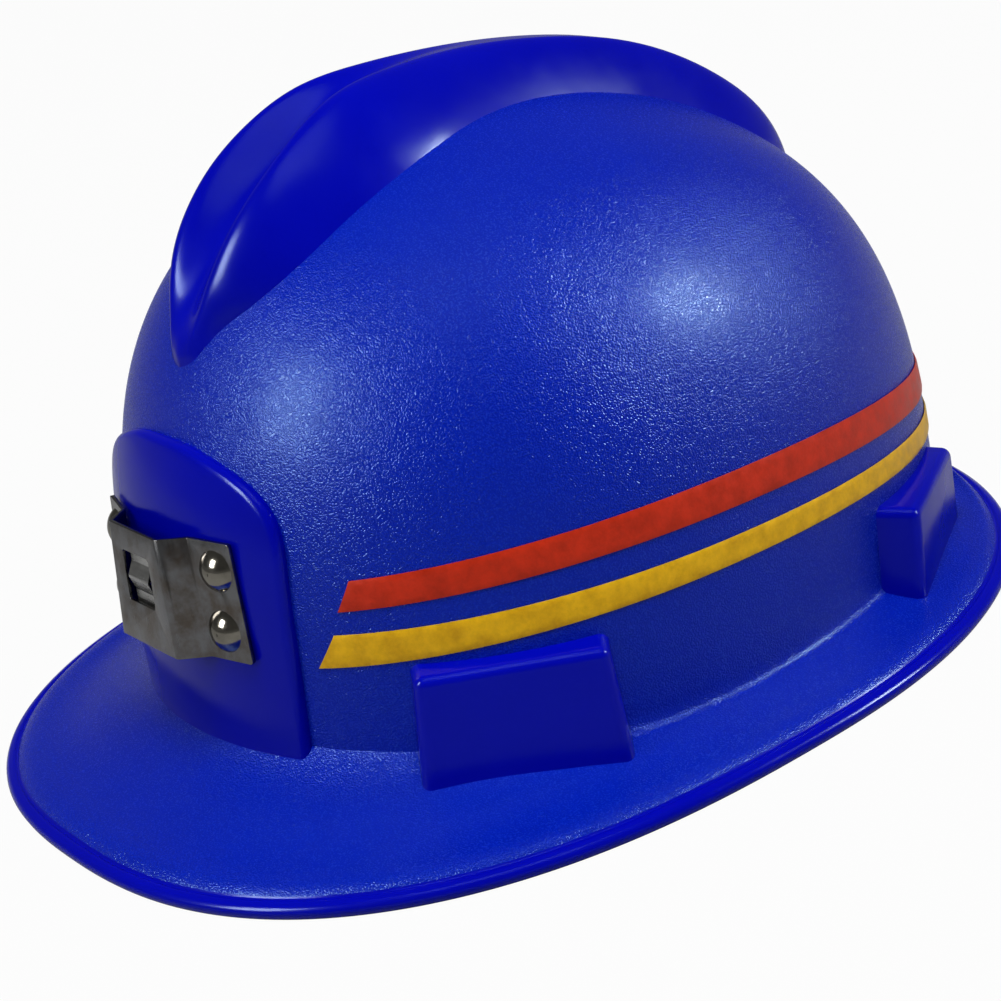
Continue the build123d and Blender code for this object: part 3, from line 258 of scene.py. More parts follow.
def only(piece):
    """Select one object alone and make it active."""
    bpy.ops.object.select_all(action="DESELECT")
    piece.select_set(True)
    bpy.context.view_layer.objects.active = piece


def face_out(piece):
    only(piece)
    bpy.ops.object.mode_set(mode="EDIT")
    bpy.ops.mesh.select_all(action="SELECT")
    bpy.ops.mesh.normals_make_consistent(inside=False)
    bpy.ops.object.mode_set(mode="OBJECT")
    return piece


def apply_step(piece, step):
    """Make one of a piece's modifiers part of its mesh."""
    only(piece)
    bpy.ops.object.modifier_apply(modifier=step.name)


def join_solid(piece, tool, operation):
    """Union or difference with a closed tool, which is used up and has to face outward for this solver."""
    face_out(tool)
    step = piece.modifiers.new("join", "BOOLEAN")
    step.operation = operation
    step.object = tool
    step.solver = "MANIFOLD"
    apply_step(piece, step)
    bpy.data.objects.remove(tool)


# ---- the moulded shell
COLUMNS = 288
BRIM_STEPS = (2, 3, 3, 3, 3, 3, 14, 8)
BORDER_ROWS = sum(BRIM_STEPS[:6])
DOME_STEPS = (7, 8, 8, 8, 8, 8, 7, 7, 6, 5, 4, 3)
INNER_COLUMNS = 144
INNER_STEPS = (3, 8, 5, 3, 3, 4, 4, 4, 4, 4, 4, 4, 4, 3, 3, 2, 2)
PAD_RINGS = 14
PAD_EDGE_RINGS = 8
PAD_LINE_STEPS = 10
PAD_FOOT_STEPS = 50
PAD_SLOPE_STEP = 0.0004


def ring(columns):
    return math.pi / 2 + 2 * math.pi * np.arange(columns) / columns


def corner_height(turn):
    """Where wall would meet brim without a flare: higher towards the front."""
    return CORNER_HEIGHT + CORNER_FRONT_RISE * np.maximum(-np.sin(turn), 0) ** 2


def dome_levels(turn):
    heights = [DOME_BASE_Z + share * (CROWN_Z - DOME_BASE_Z) for share in LEVEL_SHARES]
    return [to_rest(dome_point(turn, height)) for height in heights]


def skin_controls(turn):
    """Points of the solid's skin from the brim's edge up over the flare and the dome."""
    edge = brim_point(turn, EDGE_ROUND, EDGE_HEIGHT)
    corner = wall_at_height(turn, corner_height(turn))
    wall = wall_at_height(turn, corner_height(turn) + FLARE_UP)
    foot = corner + (edge - corner) * FLARE_OUT_SHARE
    bend = corner + (foot - corner + wall - corner) * BEND_SHARE
    return [edge, (edge + foot) / 2, foot, bend, wall] + dome_levels(turn)


def outer_solid():
    """The shell's outside, filled: the brim with its border, the crease and the dome."""
    turn = ring(COLUMNS)
    ahead = np.clip((-np.sin(turn) - CREASE_CHANGE[0]) / CREASE_CHANGE[1], 0, 1)
    ahead = ahead * ahead * (3 - 2 * ahead)
    up, out = (side + (front - side) * ahead for side, front in zip(CREASE_SIDE, CREASE_FRONT))
    edge = brim_point(turn, EDGE_ROUND, EDGE_HEIGHT)
    corner = wall_at_height(turn, corner_height(turn))
    wall = wall_at_height(turn, corner_height(turn) + up)
    foot = corner + (edge - corner) * out[:, None]
    bend = corner + (foot - corner) * BEND_SHARE
    inwards = foot - edge
    inwards = inwards / np.linalg.norm(inwards, axis=-1, keepdims=True)
    border = [edge + inwards * far + np.array([0, 0, lift]) for far, lift in BORDER]
    lip = [brim_point(turn, EDGE_ROUND, 0), brim_point(turn, 0, EDGE_HEIGHT / 2), edge]
    brim = smooth_through(lip + border + [(edge + foot) / 2, foot], BRIM_STEPS)
    share = np.linspace(0, 1, CREASE_ROWS)[:, None, None]
    crease = foot * (1 - share) ** 2 + 2 * bend * share * (1 - share) + wall * share ** 2
    dome = smooth_through([wall] + dome_levels(turn), DOME_STEPS)
    return grid_mesh("shell_outer", np.concatenate([brim[:-1], crease[:-1], dome]), start=True, end=True)


def inner_solid():
    """What is cut out of the shell: the solid's skin moved in by the wall's thickness."""
    turn = ring(INNER_COLUMNS)
    points = np.array(skin_controls(turn))
    across = np.stack([-np.sin(turn), np.cos(turn), 0 * turn], -1)
    ahead = np.concatenate([points[1:], points[-1:]]) - np.concatenate([points[:1], points[:-1]])
    out = np.cross(np.broadcast_to(across, points.shape), ahead)
    out /= np.linalg.norm(out, axis=-1, keepdims=True)
    moved = points - out * WALL
    moved[0, :, 2] = points[0, :, 2]
    moved[-1] = points[-1] - np.array([0, math.sin(DOME_PITCH), math.cos(DOME_PITCH)]) * WALL
    rim = brim_point(turn, RIM_WIDTH, -RIM_OVERRUN)
    blend = moved[0] + (moved[2] - moved[0]) * RIM_BLEND_SHARE
    rows = np.concatenate([[rim, blend], moved[1:]])
    return grid_mesh("shell_inner", smooth_through(rows, INNER_STEPS), start=True, end=True)


def dome_reach(x, lift):
    """How far the plain dome is from the crest's pivot line."""
    near, far = 0.0 * x, 0.0 * x + REACH_SEARCH
    for _ in range(SEARCH_STEPS):
        reach = (near + far) / 2
        y = CREST_PIVOT[0] - reach * np.cos(lift)
        z = CREST_PIVOT[1] + reach * np.sin(lift)
        inside = (z < CROWN_Z) & (dome_oval(x, y - level_centre(z)) < level_scale(z))
        near, far = np.where(inside, reach, near), np.where(inside, far, reach)
    return near


def bow(points, count):
    """Points along a cubic drawn by its four handles."""
    t = np.linspace(0, 1, count)[:, None]
    a, b, c, d = (np.array(p) for p in points)
    return a * (1 - t) ** 3 + 3 * b * t * (1 - t) ** 2 + 3 * c * t * t * (1 - t) + d * t ** 3


def crest_solid(inset, stations, flank_count, valley_count, steps):
    """The forked crest through its stations, or its hollow if drawn in by an inset."""
    sections = []
    for turn_share, width_share, spread_share, height_share, dip_share in stations:
        lift = CREST_START + turn_share * (CREST_END - CREST_START)
        half = width_share * CREST_HALF_WIDTH - inset
        spread = spread_share * RIDGE_SPREAD * (1 - inset / (half + inset))
        dip = dip_share * VALLEY_DEPTH
        middle = float(dome_reach(np.array(0.0), lift))
        ridge = middle + height_share * CREST_HEIGHT - inset
        foot = float(dome_reach(np.array(half), lift)) - CREST_FOOT_DEPTH - inset
        side = half + CREST_FOOT_OUT
        root = min(foot, middle - CREST_ROOT_DEPTH) - inset
        fall = max(-dip / spread, 0.0)
        run = side - spread
        flank = bow([(side, foot), (side - FLANK_OUT_SHARE * run, foot + FLANK_UP_SHARE * (ridge - foot)),
                     (spread + RIDGE_HANDLE_SHARE * run, ridge - fall * RIDGE_HANDLE_SHARE * run),
                     (spread, ridge)], flank_count)
        valley = bow([(spread, ridge),
                      (spread * (1 - VALLEY_RIDGE_SHARE), ridge + fall * VALLEY_RIDGE_SHARE * spread),
                      (spread * VALLEY_FLOOR_SHARE, ridge - dip), (0, ridge - dip)], valley_count)
        half_way = np.concatenate([[(0, root), (side * 0.5, root), (side, root)], flank, valley[1:]])
        whole = np.concatenate([half_way, (half_way * (-1, 1))[-2:0:-1]])
        rows = np.stack([whole[:, 0], CREST_PIVOT[0] - whole[:, 1] * math.cos(lift),
                         CREST_PIVOT[1] + whole[:, 1] * math.sin(lift)], -1)
        sections.append(to_rest(rows))
    counts = [steps] * (len(sections) - 1)
    return grid_mesh("crest", smooth_through(sections, counts), start=True, end=True)


def dome_front_y(x, z):
    """Where the plain dome's front lies."""
    left = level_scale(z) ** DOME_FRONT_POWER - np.abs(x / DOME_HALF_WIDTH) ** DOME_FRONT_POWER
    return level_centre(z) - DOME_FRONT * np.maximum(left, 0) ** (1 / DOME_FRONT_POWER)


def pad_solid():
    """The raised arch on the front: rings from its middle out to the rounded edge and down into the wall."""
    half = [(x * PAD_HALF_WIDTH, z * PAD_TOP_Z) for x, z in PAD_OUTLINE]
    outline = half + [(0.0, PAD_TOP_Z)] + [(-x, z) for x, z in reversed(half)]
    line = np.array(outline)[:, None, :]
    line = np.concatenate([line, 0 * line[..., :1]], -1)
    line = smooth_through(line, [PAD_LINE_STEPS] * (len(outline) - 1))[:, 0, :2]
    line = np.concatenate([line, np.linspace(line[-1], line[0], PAD_FOOT_STEPS)[1:-1]])
    centre = np.array([0.0, PAD_MIDDLE_Z])
    size = np.linalg.norm(line - centre, axis=1)
    rings = [((number + 0.5) / PAD_RINGS * (size - PAD_EDGE) / size, PAD_RISE) for number in range(PAD_RINGS)]
    for turn in np.linspace(0, math.pi / 2, PAD_EDGE_RINGS):
        inset = PAD_EDGE * (1 - math.sin(turn))
        bulge = math.sqrt(max(PAD_EDGE ** 2 - (PAD_EDGE - inset) ** 2, 0))
        rings.append(((size - inset) / size, PAD_RISE - PAD_EDGE + bulge))
    rows = [(centre + (line - centre) * share[:, None], rise) for share, rise in rings]
    made = []
    for flat, rise in rows + [(line, -PAD_ROOT)]:
        x, z = flat[:, 0], flat[:, 1]
        y = dome_front_y(x, z)
        step = PAD_SLOPE_STEP
        slope_x = (dome_front_y(x + step, z) - dome_front_y(x - step, z)) / (2 * step)
        slope_z = (dome_front_y(x, z + step) - dome_front_y(x, z - step)) / (2 * step)
        normal = np.stack([slope_x, -np.ones_like(x), slope_z], -1)
        normal /= np.linalg.norm(normal, axis=1, keepdims=True)
        made.append(to_rest(np.stack([x, y, z], -1) + normal * rise))
    return grid_mesh("front_pad", np.array(made), start=True, end=True)


def new_box():
    bpy.ops.object.select_all(action="DESELECT")
    bpy.ops.mesh.primitive_cube_add(size=1)
    return bpy.context.object


def block_fall(spot):
    """How far a block reaches down from its top, along the dome's own upright."""
    foot = BLOCK_FOOT_HEIGHT - DOME_LIFT + spot[1] * math.sin(DOME_PITCH)
    return BLOCK_TOP_Z - foot / math.cos(DOME_PITCH)


def block_solid(spot, turn, side):
    """A side boss: a box drafted and spread at its foot, its shown edges rounded."""
    fall = block_fall(spot)
    widen = (BLOCK_WIDTH_FOOT - BLOCK_WIDTH_TOP) / 2 * fall / BLOCK_SPREAD_HEIGHT
    piece = new_box()
    piece.name = "side_block"
    mesh = bmesh.new()
    mesh.from_mesh(piece.data)
    for vert in mesh.verts:
        depth = 0.0 if vert.co.z > 0 else BLOCK_DEPTH
        grow = depth * BLOCK_DRAFT
        top = BLOCK_WIDTH_TOP / 2 + grow
        if vert.co.y > 0:
            vert.co = (math.copysign(top, vert.co.x), grow, -depth)
        else:
            vert.co = (math.copysign(top + widen, vert.co.x), -fall, -depth)
    mesh.to_mesh(piece.data)
    mesh.free()
    only(piece)
    bpy.ops.object.mode_set(mode="EDIT")
    bpy.ops.mesh.select_mode(type="EDGE")
    bpy.ops.mesh.select_all(action="DESELECT")
    shape = bmesh.from_edit_mesh(piece.data)
    for edge in shape.edges:
        middle = (edge.verts[0].co + edge.verts[1].co) / 2
        edge.select = middle.y > -fall * 0.99 and middle.z > -BLOCK_DEPTH * 0.99
    bmesh.update_edit_mesh(piece.data)
    bpy.ops.mesh.bevel(offset=BLOCK_EDGE, segments=6, affect="EDGES")
    bpy.ops.object.mode_set(mode="OBJECT")
    piece.data.transform(block_place(spot, turn, side))
    return face_out(piece)


def block_place(spot, turn, side):
    """Where a block's own axes lie: x along the wall, y up, z out."""
    along = Vector((-math.sin(turn), math.cos(turn), 0))
    out = Vector((math.cos(turn), math.sin(turn), 0))
    place = Matrix((along, (0, 0, 1), out)).transposed().to_4x4()
    place.translation = (spot[0], spot[1], BLOCK_TOP_Z)
    lean = Matrix.Translation((0, 0, DOME_LIFT)) @ Matrix.Rotation(-DOME_PITCH, 4, "X")
    return Matrix.Diagonal((side, 1, 1, 1)) @ lean @ place


def pocket_solid(spot, turn, side):
    """The slot in a block, open below, that takes a suspension key."""
    fall = block_fall(spot)
    width, thick, roof = POCKET
    piece = new_box()
    piece.data.transform(Matrix.Diagonal((width, fall, thick, 1)))
    piece.data.transform(Matrix.Translation((0, -roof - fall / 2, -BLOCK_WALL - thick / 2)))
    piece.data.transform(block_place(spot, turn, side))
    return face_out(piece)


def keep_finish(piece, number):
    """Give a solid both finishes of the moulding and set which one all its faces carry."""
    for name in ("moulding_grained", "moulding_smooth"):
        piece.data.materials.append(bpy.data.materials[name])
    piece.data.polygons.foreach_set("material_index", [number] * len(piece.data.polygons))
    return piece


# ---- finishes
def finish(name, colour, roughness, metallic=0.0, specular=0.5):
    """A new material and its shader, lit as the real surface is."""
    made = bpy.data.materials.new(name)
    made.use_nodes = True
    shader = made.node_tree.nodes["Principled BSDF"]
    shader.inputs["Base Color"].default_value = (*colour, 1)
    shader.inputs["Roughness"].default_value = roughness
    shader.inputs["Metallic"].default_value = metallic
    shader.inputs["Specular IOR Level"].default_value = specular
    return made, shader


def place_of(made, source="Object", stretch=(1, 1, 1)):
    tree = made.node_tree
    place = tree.nodes.new("ShaderNodeTexCoord")
    move = tree.nodes.new("ShaderNodeMapping")
    move.inputs["Scale"].default_value = stretch
    tree.links.new(place.outputs[source], move.inputs["Vector"])
    return move.outputs["Vector"]


def link(made, value, socket):
    made.node_tree.links.new(value, socket)


def noise(made, where, size, detail=2.0, rough=0.5):
    """Soft random pattern whose spots are about this many metres across."""
    node = made.node_tree.nodes.new("ShaderNodeTexNoise")
    node.inputs["Scale"].default_value = 1 / size
    node.inputs["Detail"].default_value = detail
    node.inputs["Roughness"].default_value = rough
    link(made, where, node.inputs["Vector"])
    return node.outputs["Fac"]


def spread(made, value, low, high, start=0.3, end=0.7):
    """The part of a value between start and end, stretched from low to high."""
    node = made.node_tree.nodes.new("ShaderNodeMapRange")
    for socket, number in (("From Min", start), ("From Max", end), ("To Min", low), ("To Max", high)):
        node.inputs[socket].default_value = number
    link(made, value, node.inputs["Value"])
    return node.outputs["Result"]


def combine(tree, operation, *values):
    """A number worked out from others, each a plain number or what another node gives."""
    node = tree.nodes.new("ShaderNodeMath")
    node.operation = operation
    for socket, value in zip(node.inputs, values):
        if isinstance(value, float):
            socket.default_value = value
        else:
            tree.links.new(value, socket)
    return node.outputs["Value"]


def mottle(made, shader, value, first, second, start=0.3, end=0.7):
    """Colour that drifts between two shades."""
    ramp = made.node_tree.nodes.new("ShaderNodeValToRGB")
    ends = ((start, first), (end, second))
    for element, (position, colour) in zip(ramp.color_ramp.elements, ends):
        element.position = position
        element.color = (*colour, 1)
    link(made, value, ramp.inputs["Fac"])
    link(made, ramp.outputs["Color"], shader.inputs["Base Color"])
    return ramp


def raised(made, shader, value, depth, strength=1.0, under=None):
    """Relief of this many metres, laid over an earlier one."""
    bump = made.node_tree.nodes.new("ShaderNodeBump")
    bump.inputs["Strength"].default_value = strength
    bump.inputs["Distance"].default_value = depth
    link(made, value, bump.inputs["Height"])
    if under is not None:
        link(made, under, bump.inputs["Normal"])
    link(made, bump.outputs["Normal"], shader.inputs["Normal"])
    return bump.outputs["Normal"]


GRAIN_DEEP_AND_SHADED = (0.0004, 0.0060, 0.275)
GRAIN_BLUE = (0.0006, 0.0125, 0.385)
GRAIN_PALE_AND_LIT = (0.0010, 0.0200, 0.470)
GRAIN_TINT = (0.42, 0.72, 1.0, 1)
GRAIN_SIZE = 0.00046
GRAIN_DEPTH = 0.000092
SMOOTH_DEEP = (0.0002, 0.0010, 0.340)
SMOOTH_BLUE = (0.0003, 0.0018, 0.400)
SMOOTH_TINT = (0.62, 0.80, 1.0, 1)

# The pebbled skin: its grain sets roughness and relief, and its colour has a painted highlight on each pebble's
# top and painted shade in its hollows, over a slow drift of colour and form.
grained, shader = finish("moulding_grained", GRAIN_BLUE, 0.25, specular=0.34)
shader.inputs["Specular Tint"].default_value = GRAIN_TINT
where = place_of(grained)
pebble = spread(grained, noise(grained, where, GRAIN_SIZE, 0.0, 0.5), 0.0, 1.0, 0.32, 0.68)
drift = noise(grained, where, 0.045)
drift_and_painted_pebble_light = combine(grained.node_tree, "MULTIPLY_ADD", drift, 0.25, spread(grained, pebble, 0.22, 0.53, 0.0, 1.0))
colour = mottle(grained, shader, drift_and_painted_pebble_light, GRAIN_DEEP_AND_SHADED, GRAIN_PALE_AND_LIT, 0.05, 0.95)
colour.color_ramp.elements.new(0.5).color = (*GRAIN_BLUE, 1)
link(grained, spread(grained, pebble, 0.19, 0.29, 0.0, 1.0), shader.inputs["Roughness"])
fine = raised(grained, shader, pebble, GRAIN_DEPTH)
raised(grained, shader, noise(grained, where, 0.030, 1.0), 0.0004, 0.35, fine)

smooth, shader = finish("moulding_smooth", SMOOTH_BLUE, 0.18, specular=0.16)
shader.inputs["Specular Tint"].default_value = SMOOTH_TINT
where = place_of(smooth)
mottle(smooth, shader, noise(smooth, where, 0.060), SMOOTH_DEEP, SMOOTH_BLUE)
link(smooth, spread(smooth, noise(smooth, where, 0.012, 3.0), 0.15, 0.22), shader.inputs["Roughness"])
fine = raised(smooth, shader, noise(smooth, where, 0.0016, 2.0), 0.00002, 0.5)
raised(smooth, shader, noise(smooth, where, 0.018, 1.0), 0.0003, 0.30, fine)


def tape_finish(name, deep, pale):
    made, shader = finish(name, pale, 0.34, specular=0.2)
    where = place_of(made)
    mottle(made, shader, noise(made, where, 0.006, 6.0, 0.7), deep, pale, 0.32, 0.62)
    link(made, spread(made, noise(made, where, 0.003, 3.0), 0.28, 0.42), shader.inputs["Roughness"])
    fine = raised(made, shader, noise(made, where, 0.0010, 2.0), 0.00007, 0.6)
    raised(made, shader, noise(made, place_of(made, stretch=(1, 1, 3)), 0.014, 2.0), 0.0004, 0.4, fine)
    return made


red = tape_finish("tape_red", (0.42, 0.019, 0.003), (0.62, 0.030, 0.006))
yellow = tape_finish("tape_yellow", (0.62, 0.320, 0.002), (0.88, 0.500, 0.006))


def steel(name, colour, roughness, scratch, stretch=(1, 1, 1), dark=None):
    """Metal with drawn scratches and darker patches."""
    made, shader = finish(name, colour, roughness, metallic=1.0)
    where = place_of(made, stretch=stretch)
    dark = dark or tuple(c * 0.72 for c in colour)
    mottle(made, shader, noise(made, place_of(made), 0.007, 4.0, 0.65), dark, colour, 0.35, 0.6)
    worn = spread(made, noise(made, where, 0.0012, 4.0), roughness * 0.8, roughness * 1.25)
    link(made, worn, shader.inputs["Roughness"])
    raised(made, shader, noise(made, where, 0.0005, 3.0), scratch, 0.6)
    return made


sheet_steel = steel("sheet_steel", (0.175, 0.178, 0.185), 0.22, 0.00004, (1, 1, 0.06), (0.110, 0.094, 0.080))
spring_steel = steel("spring_strip_steel", (0.40, 0.40, 0.39), 0.25, 0.00003, (0.1, 1, 1))
rivet_steel = steel("rivet_polished_steel", (0.27, 0.255, 0.215), 0.13, 0.00001)


def plastic(name, colour, roughness, grain):
    made, shader = finish(name, colour, roughness, specular=0.45)
    where = place_of(made)
    deep = tuple(c * 0.86 for c in colour)
    mottle(made, shader, noise(made, where, 0.014, 3.0), deep, colour)
    worn = spread(made, noise(made, where, 0.004, 3.0), roughness * 0.85, roughness * 1.15)
    link(made, worn, shader.inputs["Roughness"])
    raised(made, shader, noise(made, where, 0.0009, 2.0), grain, 0.5)
    return made


key_plastic = plastic("key_plastic", (0.69, 0.69, 0.65), 0.40, 0.00003)
band_plastic = plastic("band_plastic", (0.73, 0.73, 0.70), 0.36, 0.00003)
stud_plastic = plastic("stud_plastic", (0.60, 0.60, 0.57), 0.32, 0.00002)
knob_plastic = plastic("knob_plastic", (0.012, 0.012, 0.014), 0.42, 0.00006)


# Distance between the bands of a wave texture whose scale is 1.
WAVE_PERIOD = 0.314


def cloth(name, deep, pale, thread, depth, sheen=0.3):
    """Cloth woven over and under along the piece's own map, which is in metres, with painted shade in the
    weave's hollows.
    """
    made, shader = finish(name, pale, 0.85, specular=0.2)
    shader.inputs["Sheen Weight"].default_value = sheen
    shader.inputs["Sheen Roughness"].default_value = 0.4
    where = place_of(made, "UV")
    tree = made.node_tree
    waves = []
    for axis in ("X", "Y"):
        wave = tree.nodes.new("ShaderNodeTexWave")
        wave.bands_direction = axis
        wave.inputs["Scale"].default_value = WAVE_PERIOD / thread
        wave.inputs["Distortion"].default_value = 0.6
        wave.inputs["Detail"].default_value = 2.0
        wave.inputs["Detail Scale"].default_value = 1.5
        link(made, where, wave.inputs["Vector"])
        waves.append(wave.outputs["Fac"])
    weave = combine(tree, "MULTIPLY", *waves)
    # Painted shade: the colour is deeper where the threads dip and paler on their tops.
    mottle(made, shader, weave, deep, pale, 0.0, 0.7)
    under = raised(made, shader, weave, depth, 0.8)
    raised(made, shader, noise(made, place_of(made), 0.009, 3.0), depth * 4, 0.25, under)
    return made


webbing = cloth("strap_webbing", (0.50, 0.50, 0.47), (0.74, 0.74, 0.70), 0.0011, 0.00025)
pad_cloth = cloth("pad_cloth", (0.010, 0.010, 0.012), (0.035, 0.035, 0.040), 0.0006, 0.00012, 0.5)
brow_cloth = cloth("brow_cloth", (0.008, 0.008, 0.010), (0.030, 0.030, 0.034), 0.0007, 0.00015, 0.5)

# ---- shell
shell = keep_finish(outer_solid(), 0)
for face in shell.data.polygons[:BORDER_ROWS * COLUMNS]:
    face.material_index = 1
crest = crest_solid(0, CREST_STATIONS, flank_count=26, valley_count=14, steps=8)
hollow = crest_solid(WALL, CREST_STATIONS[3:-2], flank_count=14, valley_count=8, steps=5)
join_solid(shell, keep_finish(crest, 1), "UNION")
join_solid(shell, keep_finish(pad_solid(), 1), "UNION")
for spot, turn in BLOCK_SPOTS:
    for side in (1, -1):
        join_solid(shell, keep_finish(block_solid(spot, turn, side), 1), "UNION")
join_solid(shell, keep_finish(inner_solid(), 1), "DIFFERENCE")
join_solid(shell, keep_finish(hollow, 1), "DIFFERENCE")
for spot, turn in BLOCK_SPOTS:
    for side in (1, -1):
        join_solid(shell, keep_finish(pocket_solid(spot, turn, side), 1), "DIFFERENCE")
only(shell)
bpy.ops.object.shade_smooth_by_angle(angle=math.radians(32))
shell.name = "shell_moulding"
shell.data.name = "shell_moulding"
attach(shell, "helmet")
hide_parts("shell")


# ---- tapes
TAPE_GRID = (9, 150)
TAPE_SETTLE_STEPS = 30
TAPE_START_Z = 0.05
TAPE_SLOPE_STEP = 0.002


def tape_line(shares):
    """Height over length for an arc through three points of the side view."""
    (a, b), (c, d), (e, f) = [(y * TAPE_SPAN, z * TAPE_RISE) for y, z in shares]
    m = np.linalg.solve(np.array([[2 * (c - a), 2 * (d - b)], [2 * (e - a), 2 * (f - b)]]),
                        np.array([c * c + d * d - a * a - b * b, e * e + f * f - a * a - b * b]))
    reach = math.hypot(a - m[0], b - m[1])
    return lambda y: m[1] + np.sqrt(np.maximum(reach ** 2 - (y - m[0]) ** 2, 0))


def tape_piece(name, top_shares, foot_shares, side, body_finish):
    """A thin strip on the dome between two arcs, cut square behind and slanted in front."""
    across, along = TAPE_GRID
    top, foot = tape_line(top_shares), tape_line(foot_shares)
    share = np.linspace(0, 1, across)[:, None]
    first = (top_shares[0][0] + (foot_shares[0][0] - top_shares[0][0]) * share) * TAPE_SPAN

    def turned(turn):
        z = TAPE_START_Z + 0 * turn
        for _ in range(TAPE_SETTLE_STEPS):
            y = dome_point(turn, z)[..., 1]
            z = top(y) * (1 - share) + foot(y) * share
        return z

    def found(goal, axis, low, high):
        """The plan direction at which the tape's point has this coordinate."""
        low, high = low + 0 * goal, high + 0 * goal
        for _ in range(SEARCH_STEPS):
            middle = (low + high) / 2
            here = dome_point(middle, turned(middle))[..., axis]
            past = here > goal if axis == 1 else here < goal
            low, high = np.where(past, low, middle), np.where(past, middle, high)
        return low

    start = found(first, 1, -math.pi / 2 + 0.05, 0.5)
    end = found(TAPE_REAR_X + 0 * share, 0, 0.4, math.pi / 2 - 0.01)
    turn = start + (end - start) * np.linspace(0, 1, along)[None, :]
    z = turned(turn)
    here = dome_point(turn, z)
    step = TAPE_SLOPE_STEP
    ahead = dome_point(turn + step, z) - dome_point(turn - step, z)
    up = dome_point(turn, z + step / 10) - dome_point(turn, z - step / 10)
    out = np.cross(ahead, up)
    out /= np.linalg.norm(out, axis=-1, keepdims=True)
    row, column = np.arange(across)[:, None], np.arange(along)[None, :]
    border = (row == 0) | (row == across - 1) | (column == 0) | (column == along - 1)
    lift = np.where(border, TAPE_OUT * 0.5, TAPE_OUT)[..., None]
    rows = to_rest(here + out * lift)
    rows[..., 0] *= side
    piece = grid_mesh(name, rows, around=False)
    step = piece.modifiers.new("thickness", "SOLIDIFY")
    step.thickness = TAPE_THICKNESS
    step.offset = -side
    apply_step(piece, step)
    face_out(piece)
    bpy.ops.object.shade_smooth_by_angle(angle=math.radians(50))
    piece.data.materials.append(body_finish)
    return piece


for stem, (top_shares, foot_shares) in TAPES.items():
    for word, side in (("left", 1), ("right", -1)):
        body_finish = red if "red" in stem else yellow
        strip = tape_piece(f"{stem}_strip_{word}", top_shares, foot_shares, side, body_finish)
        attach(strip, "helmet")
        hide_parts(f"{stem}_{word}")

# ---- straps, pads and sweat band
BAND_Y = 0.025
BAND_Z = 0.028
STRAP_FRONT = (0.078155, -0.050786)
STRAP_REAR = (0.076303, 0.083110)
STRAP_WIDTH = 0.020
STRAP_THICKNESS = 0.0016
STRAP_OUTER = 0.1045
STRAP_INNER = 0.0999
STRAP_LOW = 0.0329
STRAP_ARCH = ((0.985, 0.25), (0.915, 0.50), (0.76, 0.73), (0.50, 0.90), (0.25, 0.98))
STRAP_BEND = 0.0015
STRAP_COLUMNS = 13
# Half of the headband's oval, across and along.
BAND_HALF = (0.0846, 0.106)
BROW_REACH = 1.2
BROW_INSET = 0.0023 + 0.0020
NAPE_RADIUS = 0.0733
CROWN_RADIUS = 0.125
CROWN_INSET = 0.0025
CROWN_PLACE = (0.016965, 0.1241)
PINCH_POWER = 1.35
SEAM_WIDTH = 0.0009
QUILT_WIDTH = 0.0010
QUILT_FADE = 0.006


def soft_grid(name, front, back, u, v, around=False):
    """A closed soft form: two skins of the same grid, joined round their border, with their map in metres."""
    r, c = u.shape
    across = 2 * r * c
    faces = []
    for i in range(r - 1):
        for j in range(c - 1):
            k = (i * c + j, i * c + j + 1, (i + 1) * c + j + 1, (i + 1) * c + j)
            faces.append(k)
            faces.append(tuple(n + r * c for n in reversed(k)))
    border = [j for j in range(c)] + [i * c + c - 1 for i in range(1, r)]
    border += [(r - 1) * c + j for j in range(c - 2, -1, -1)] + [i * c for i in range(r - 2, 0, -1)]
    for a, b in zip(border, border[1:] + border[:1]):
        faces.append((b, a, a + r * c, b + r * c))
    piece = new_piece(name, np.concatenate([front.reshape(-1, 3), back.reshape(-1, 3)]), faces)
    mesh = piece.data
    spot = mesh.uv_layers.new(name="cloth").data
    flat = np.concatenate([np.stack([u, v], -1).reshape(-1, 2)] * 2)
    order = np.empty(len(mesh.loops), int)
    mesh.loops.foreach_get("vertex_index", order)
    spot.foreach_set("uv", flat[order].ravel())
    face_out(piece)
    bpy.ops.object.shade_smooth_by_angle(angle=math.radians(60))
    return piece


def strap_path(tall):
    """Half of the strap's middle line, from its sewn tail up to the crossing, as (out, up)."""
    bend = STRAP_BEND
    quarter = np.linspace(0, math.pi / 2, 7)
    line = [(STRAP_OUTER, STRAP_LOW + 0.010), (STRAP_OUTER, STRAP_LOW + 0.006)]
    line += [(STRAP_OUTER - bend + bend * math.cos(a), STRAP_LOW + bend - bend * math.sin(a))
             for a in quarter]
    line += [(STRAP_INNER + bend - bend * math.sin(a), STRAP_LOW + bend - bend * math.cos(a))
             for a in quarter]
    knots = [(STRAP_INNER, STRAP_LOW + 0.0025), (STRAP_INNER, STRAP_LOW + 0.006)]
    knots += [(STRAP_INNER * out, STRAP_LOW + tall * up) for out, up in STRAP_ARCH] + [(0, STRAP_LOW + tall)]
    knots += [(-x, z) for x, z in reversed(knots[:-1])]
    rise = smooth_through(np.array(knots)[:, None, :][..., [0, 1, 1]], [2] + [8] * 12 + [2])[:, 0, :2]
    return np.concatenate([line, rise, [(-x, z) for x, z in reversed(line)]])


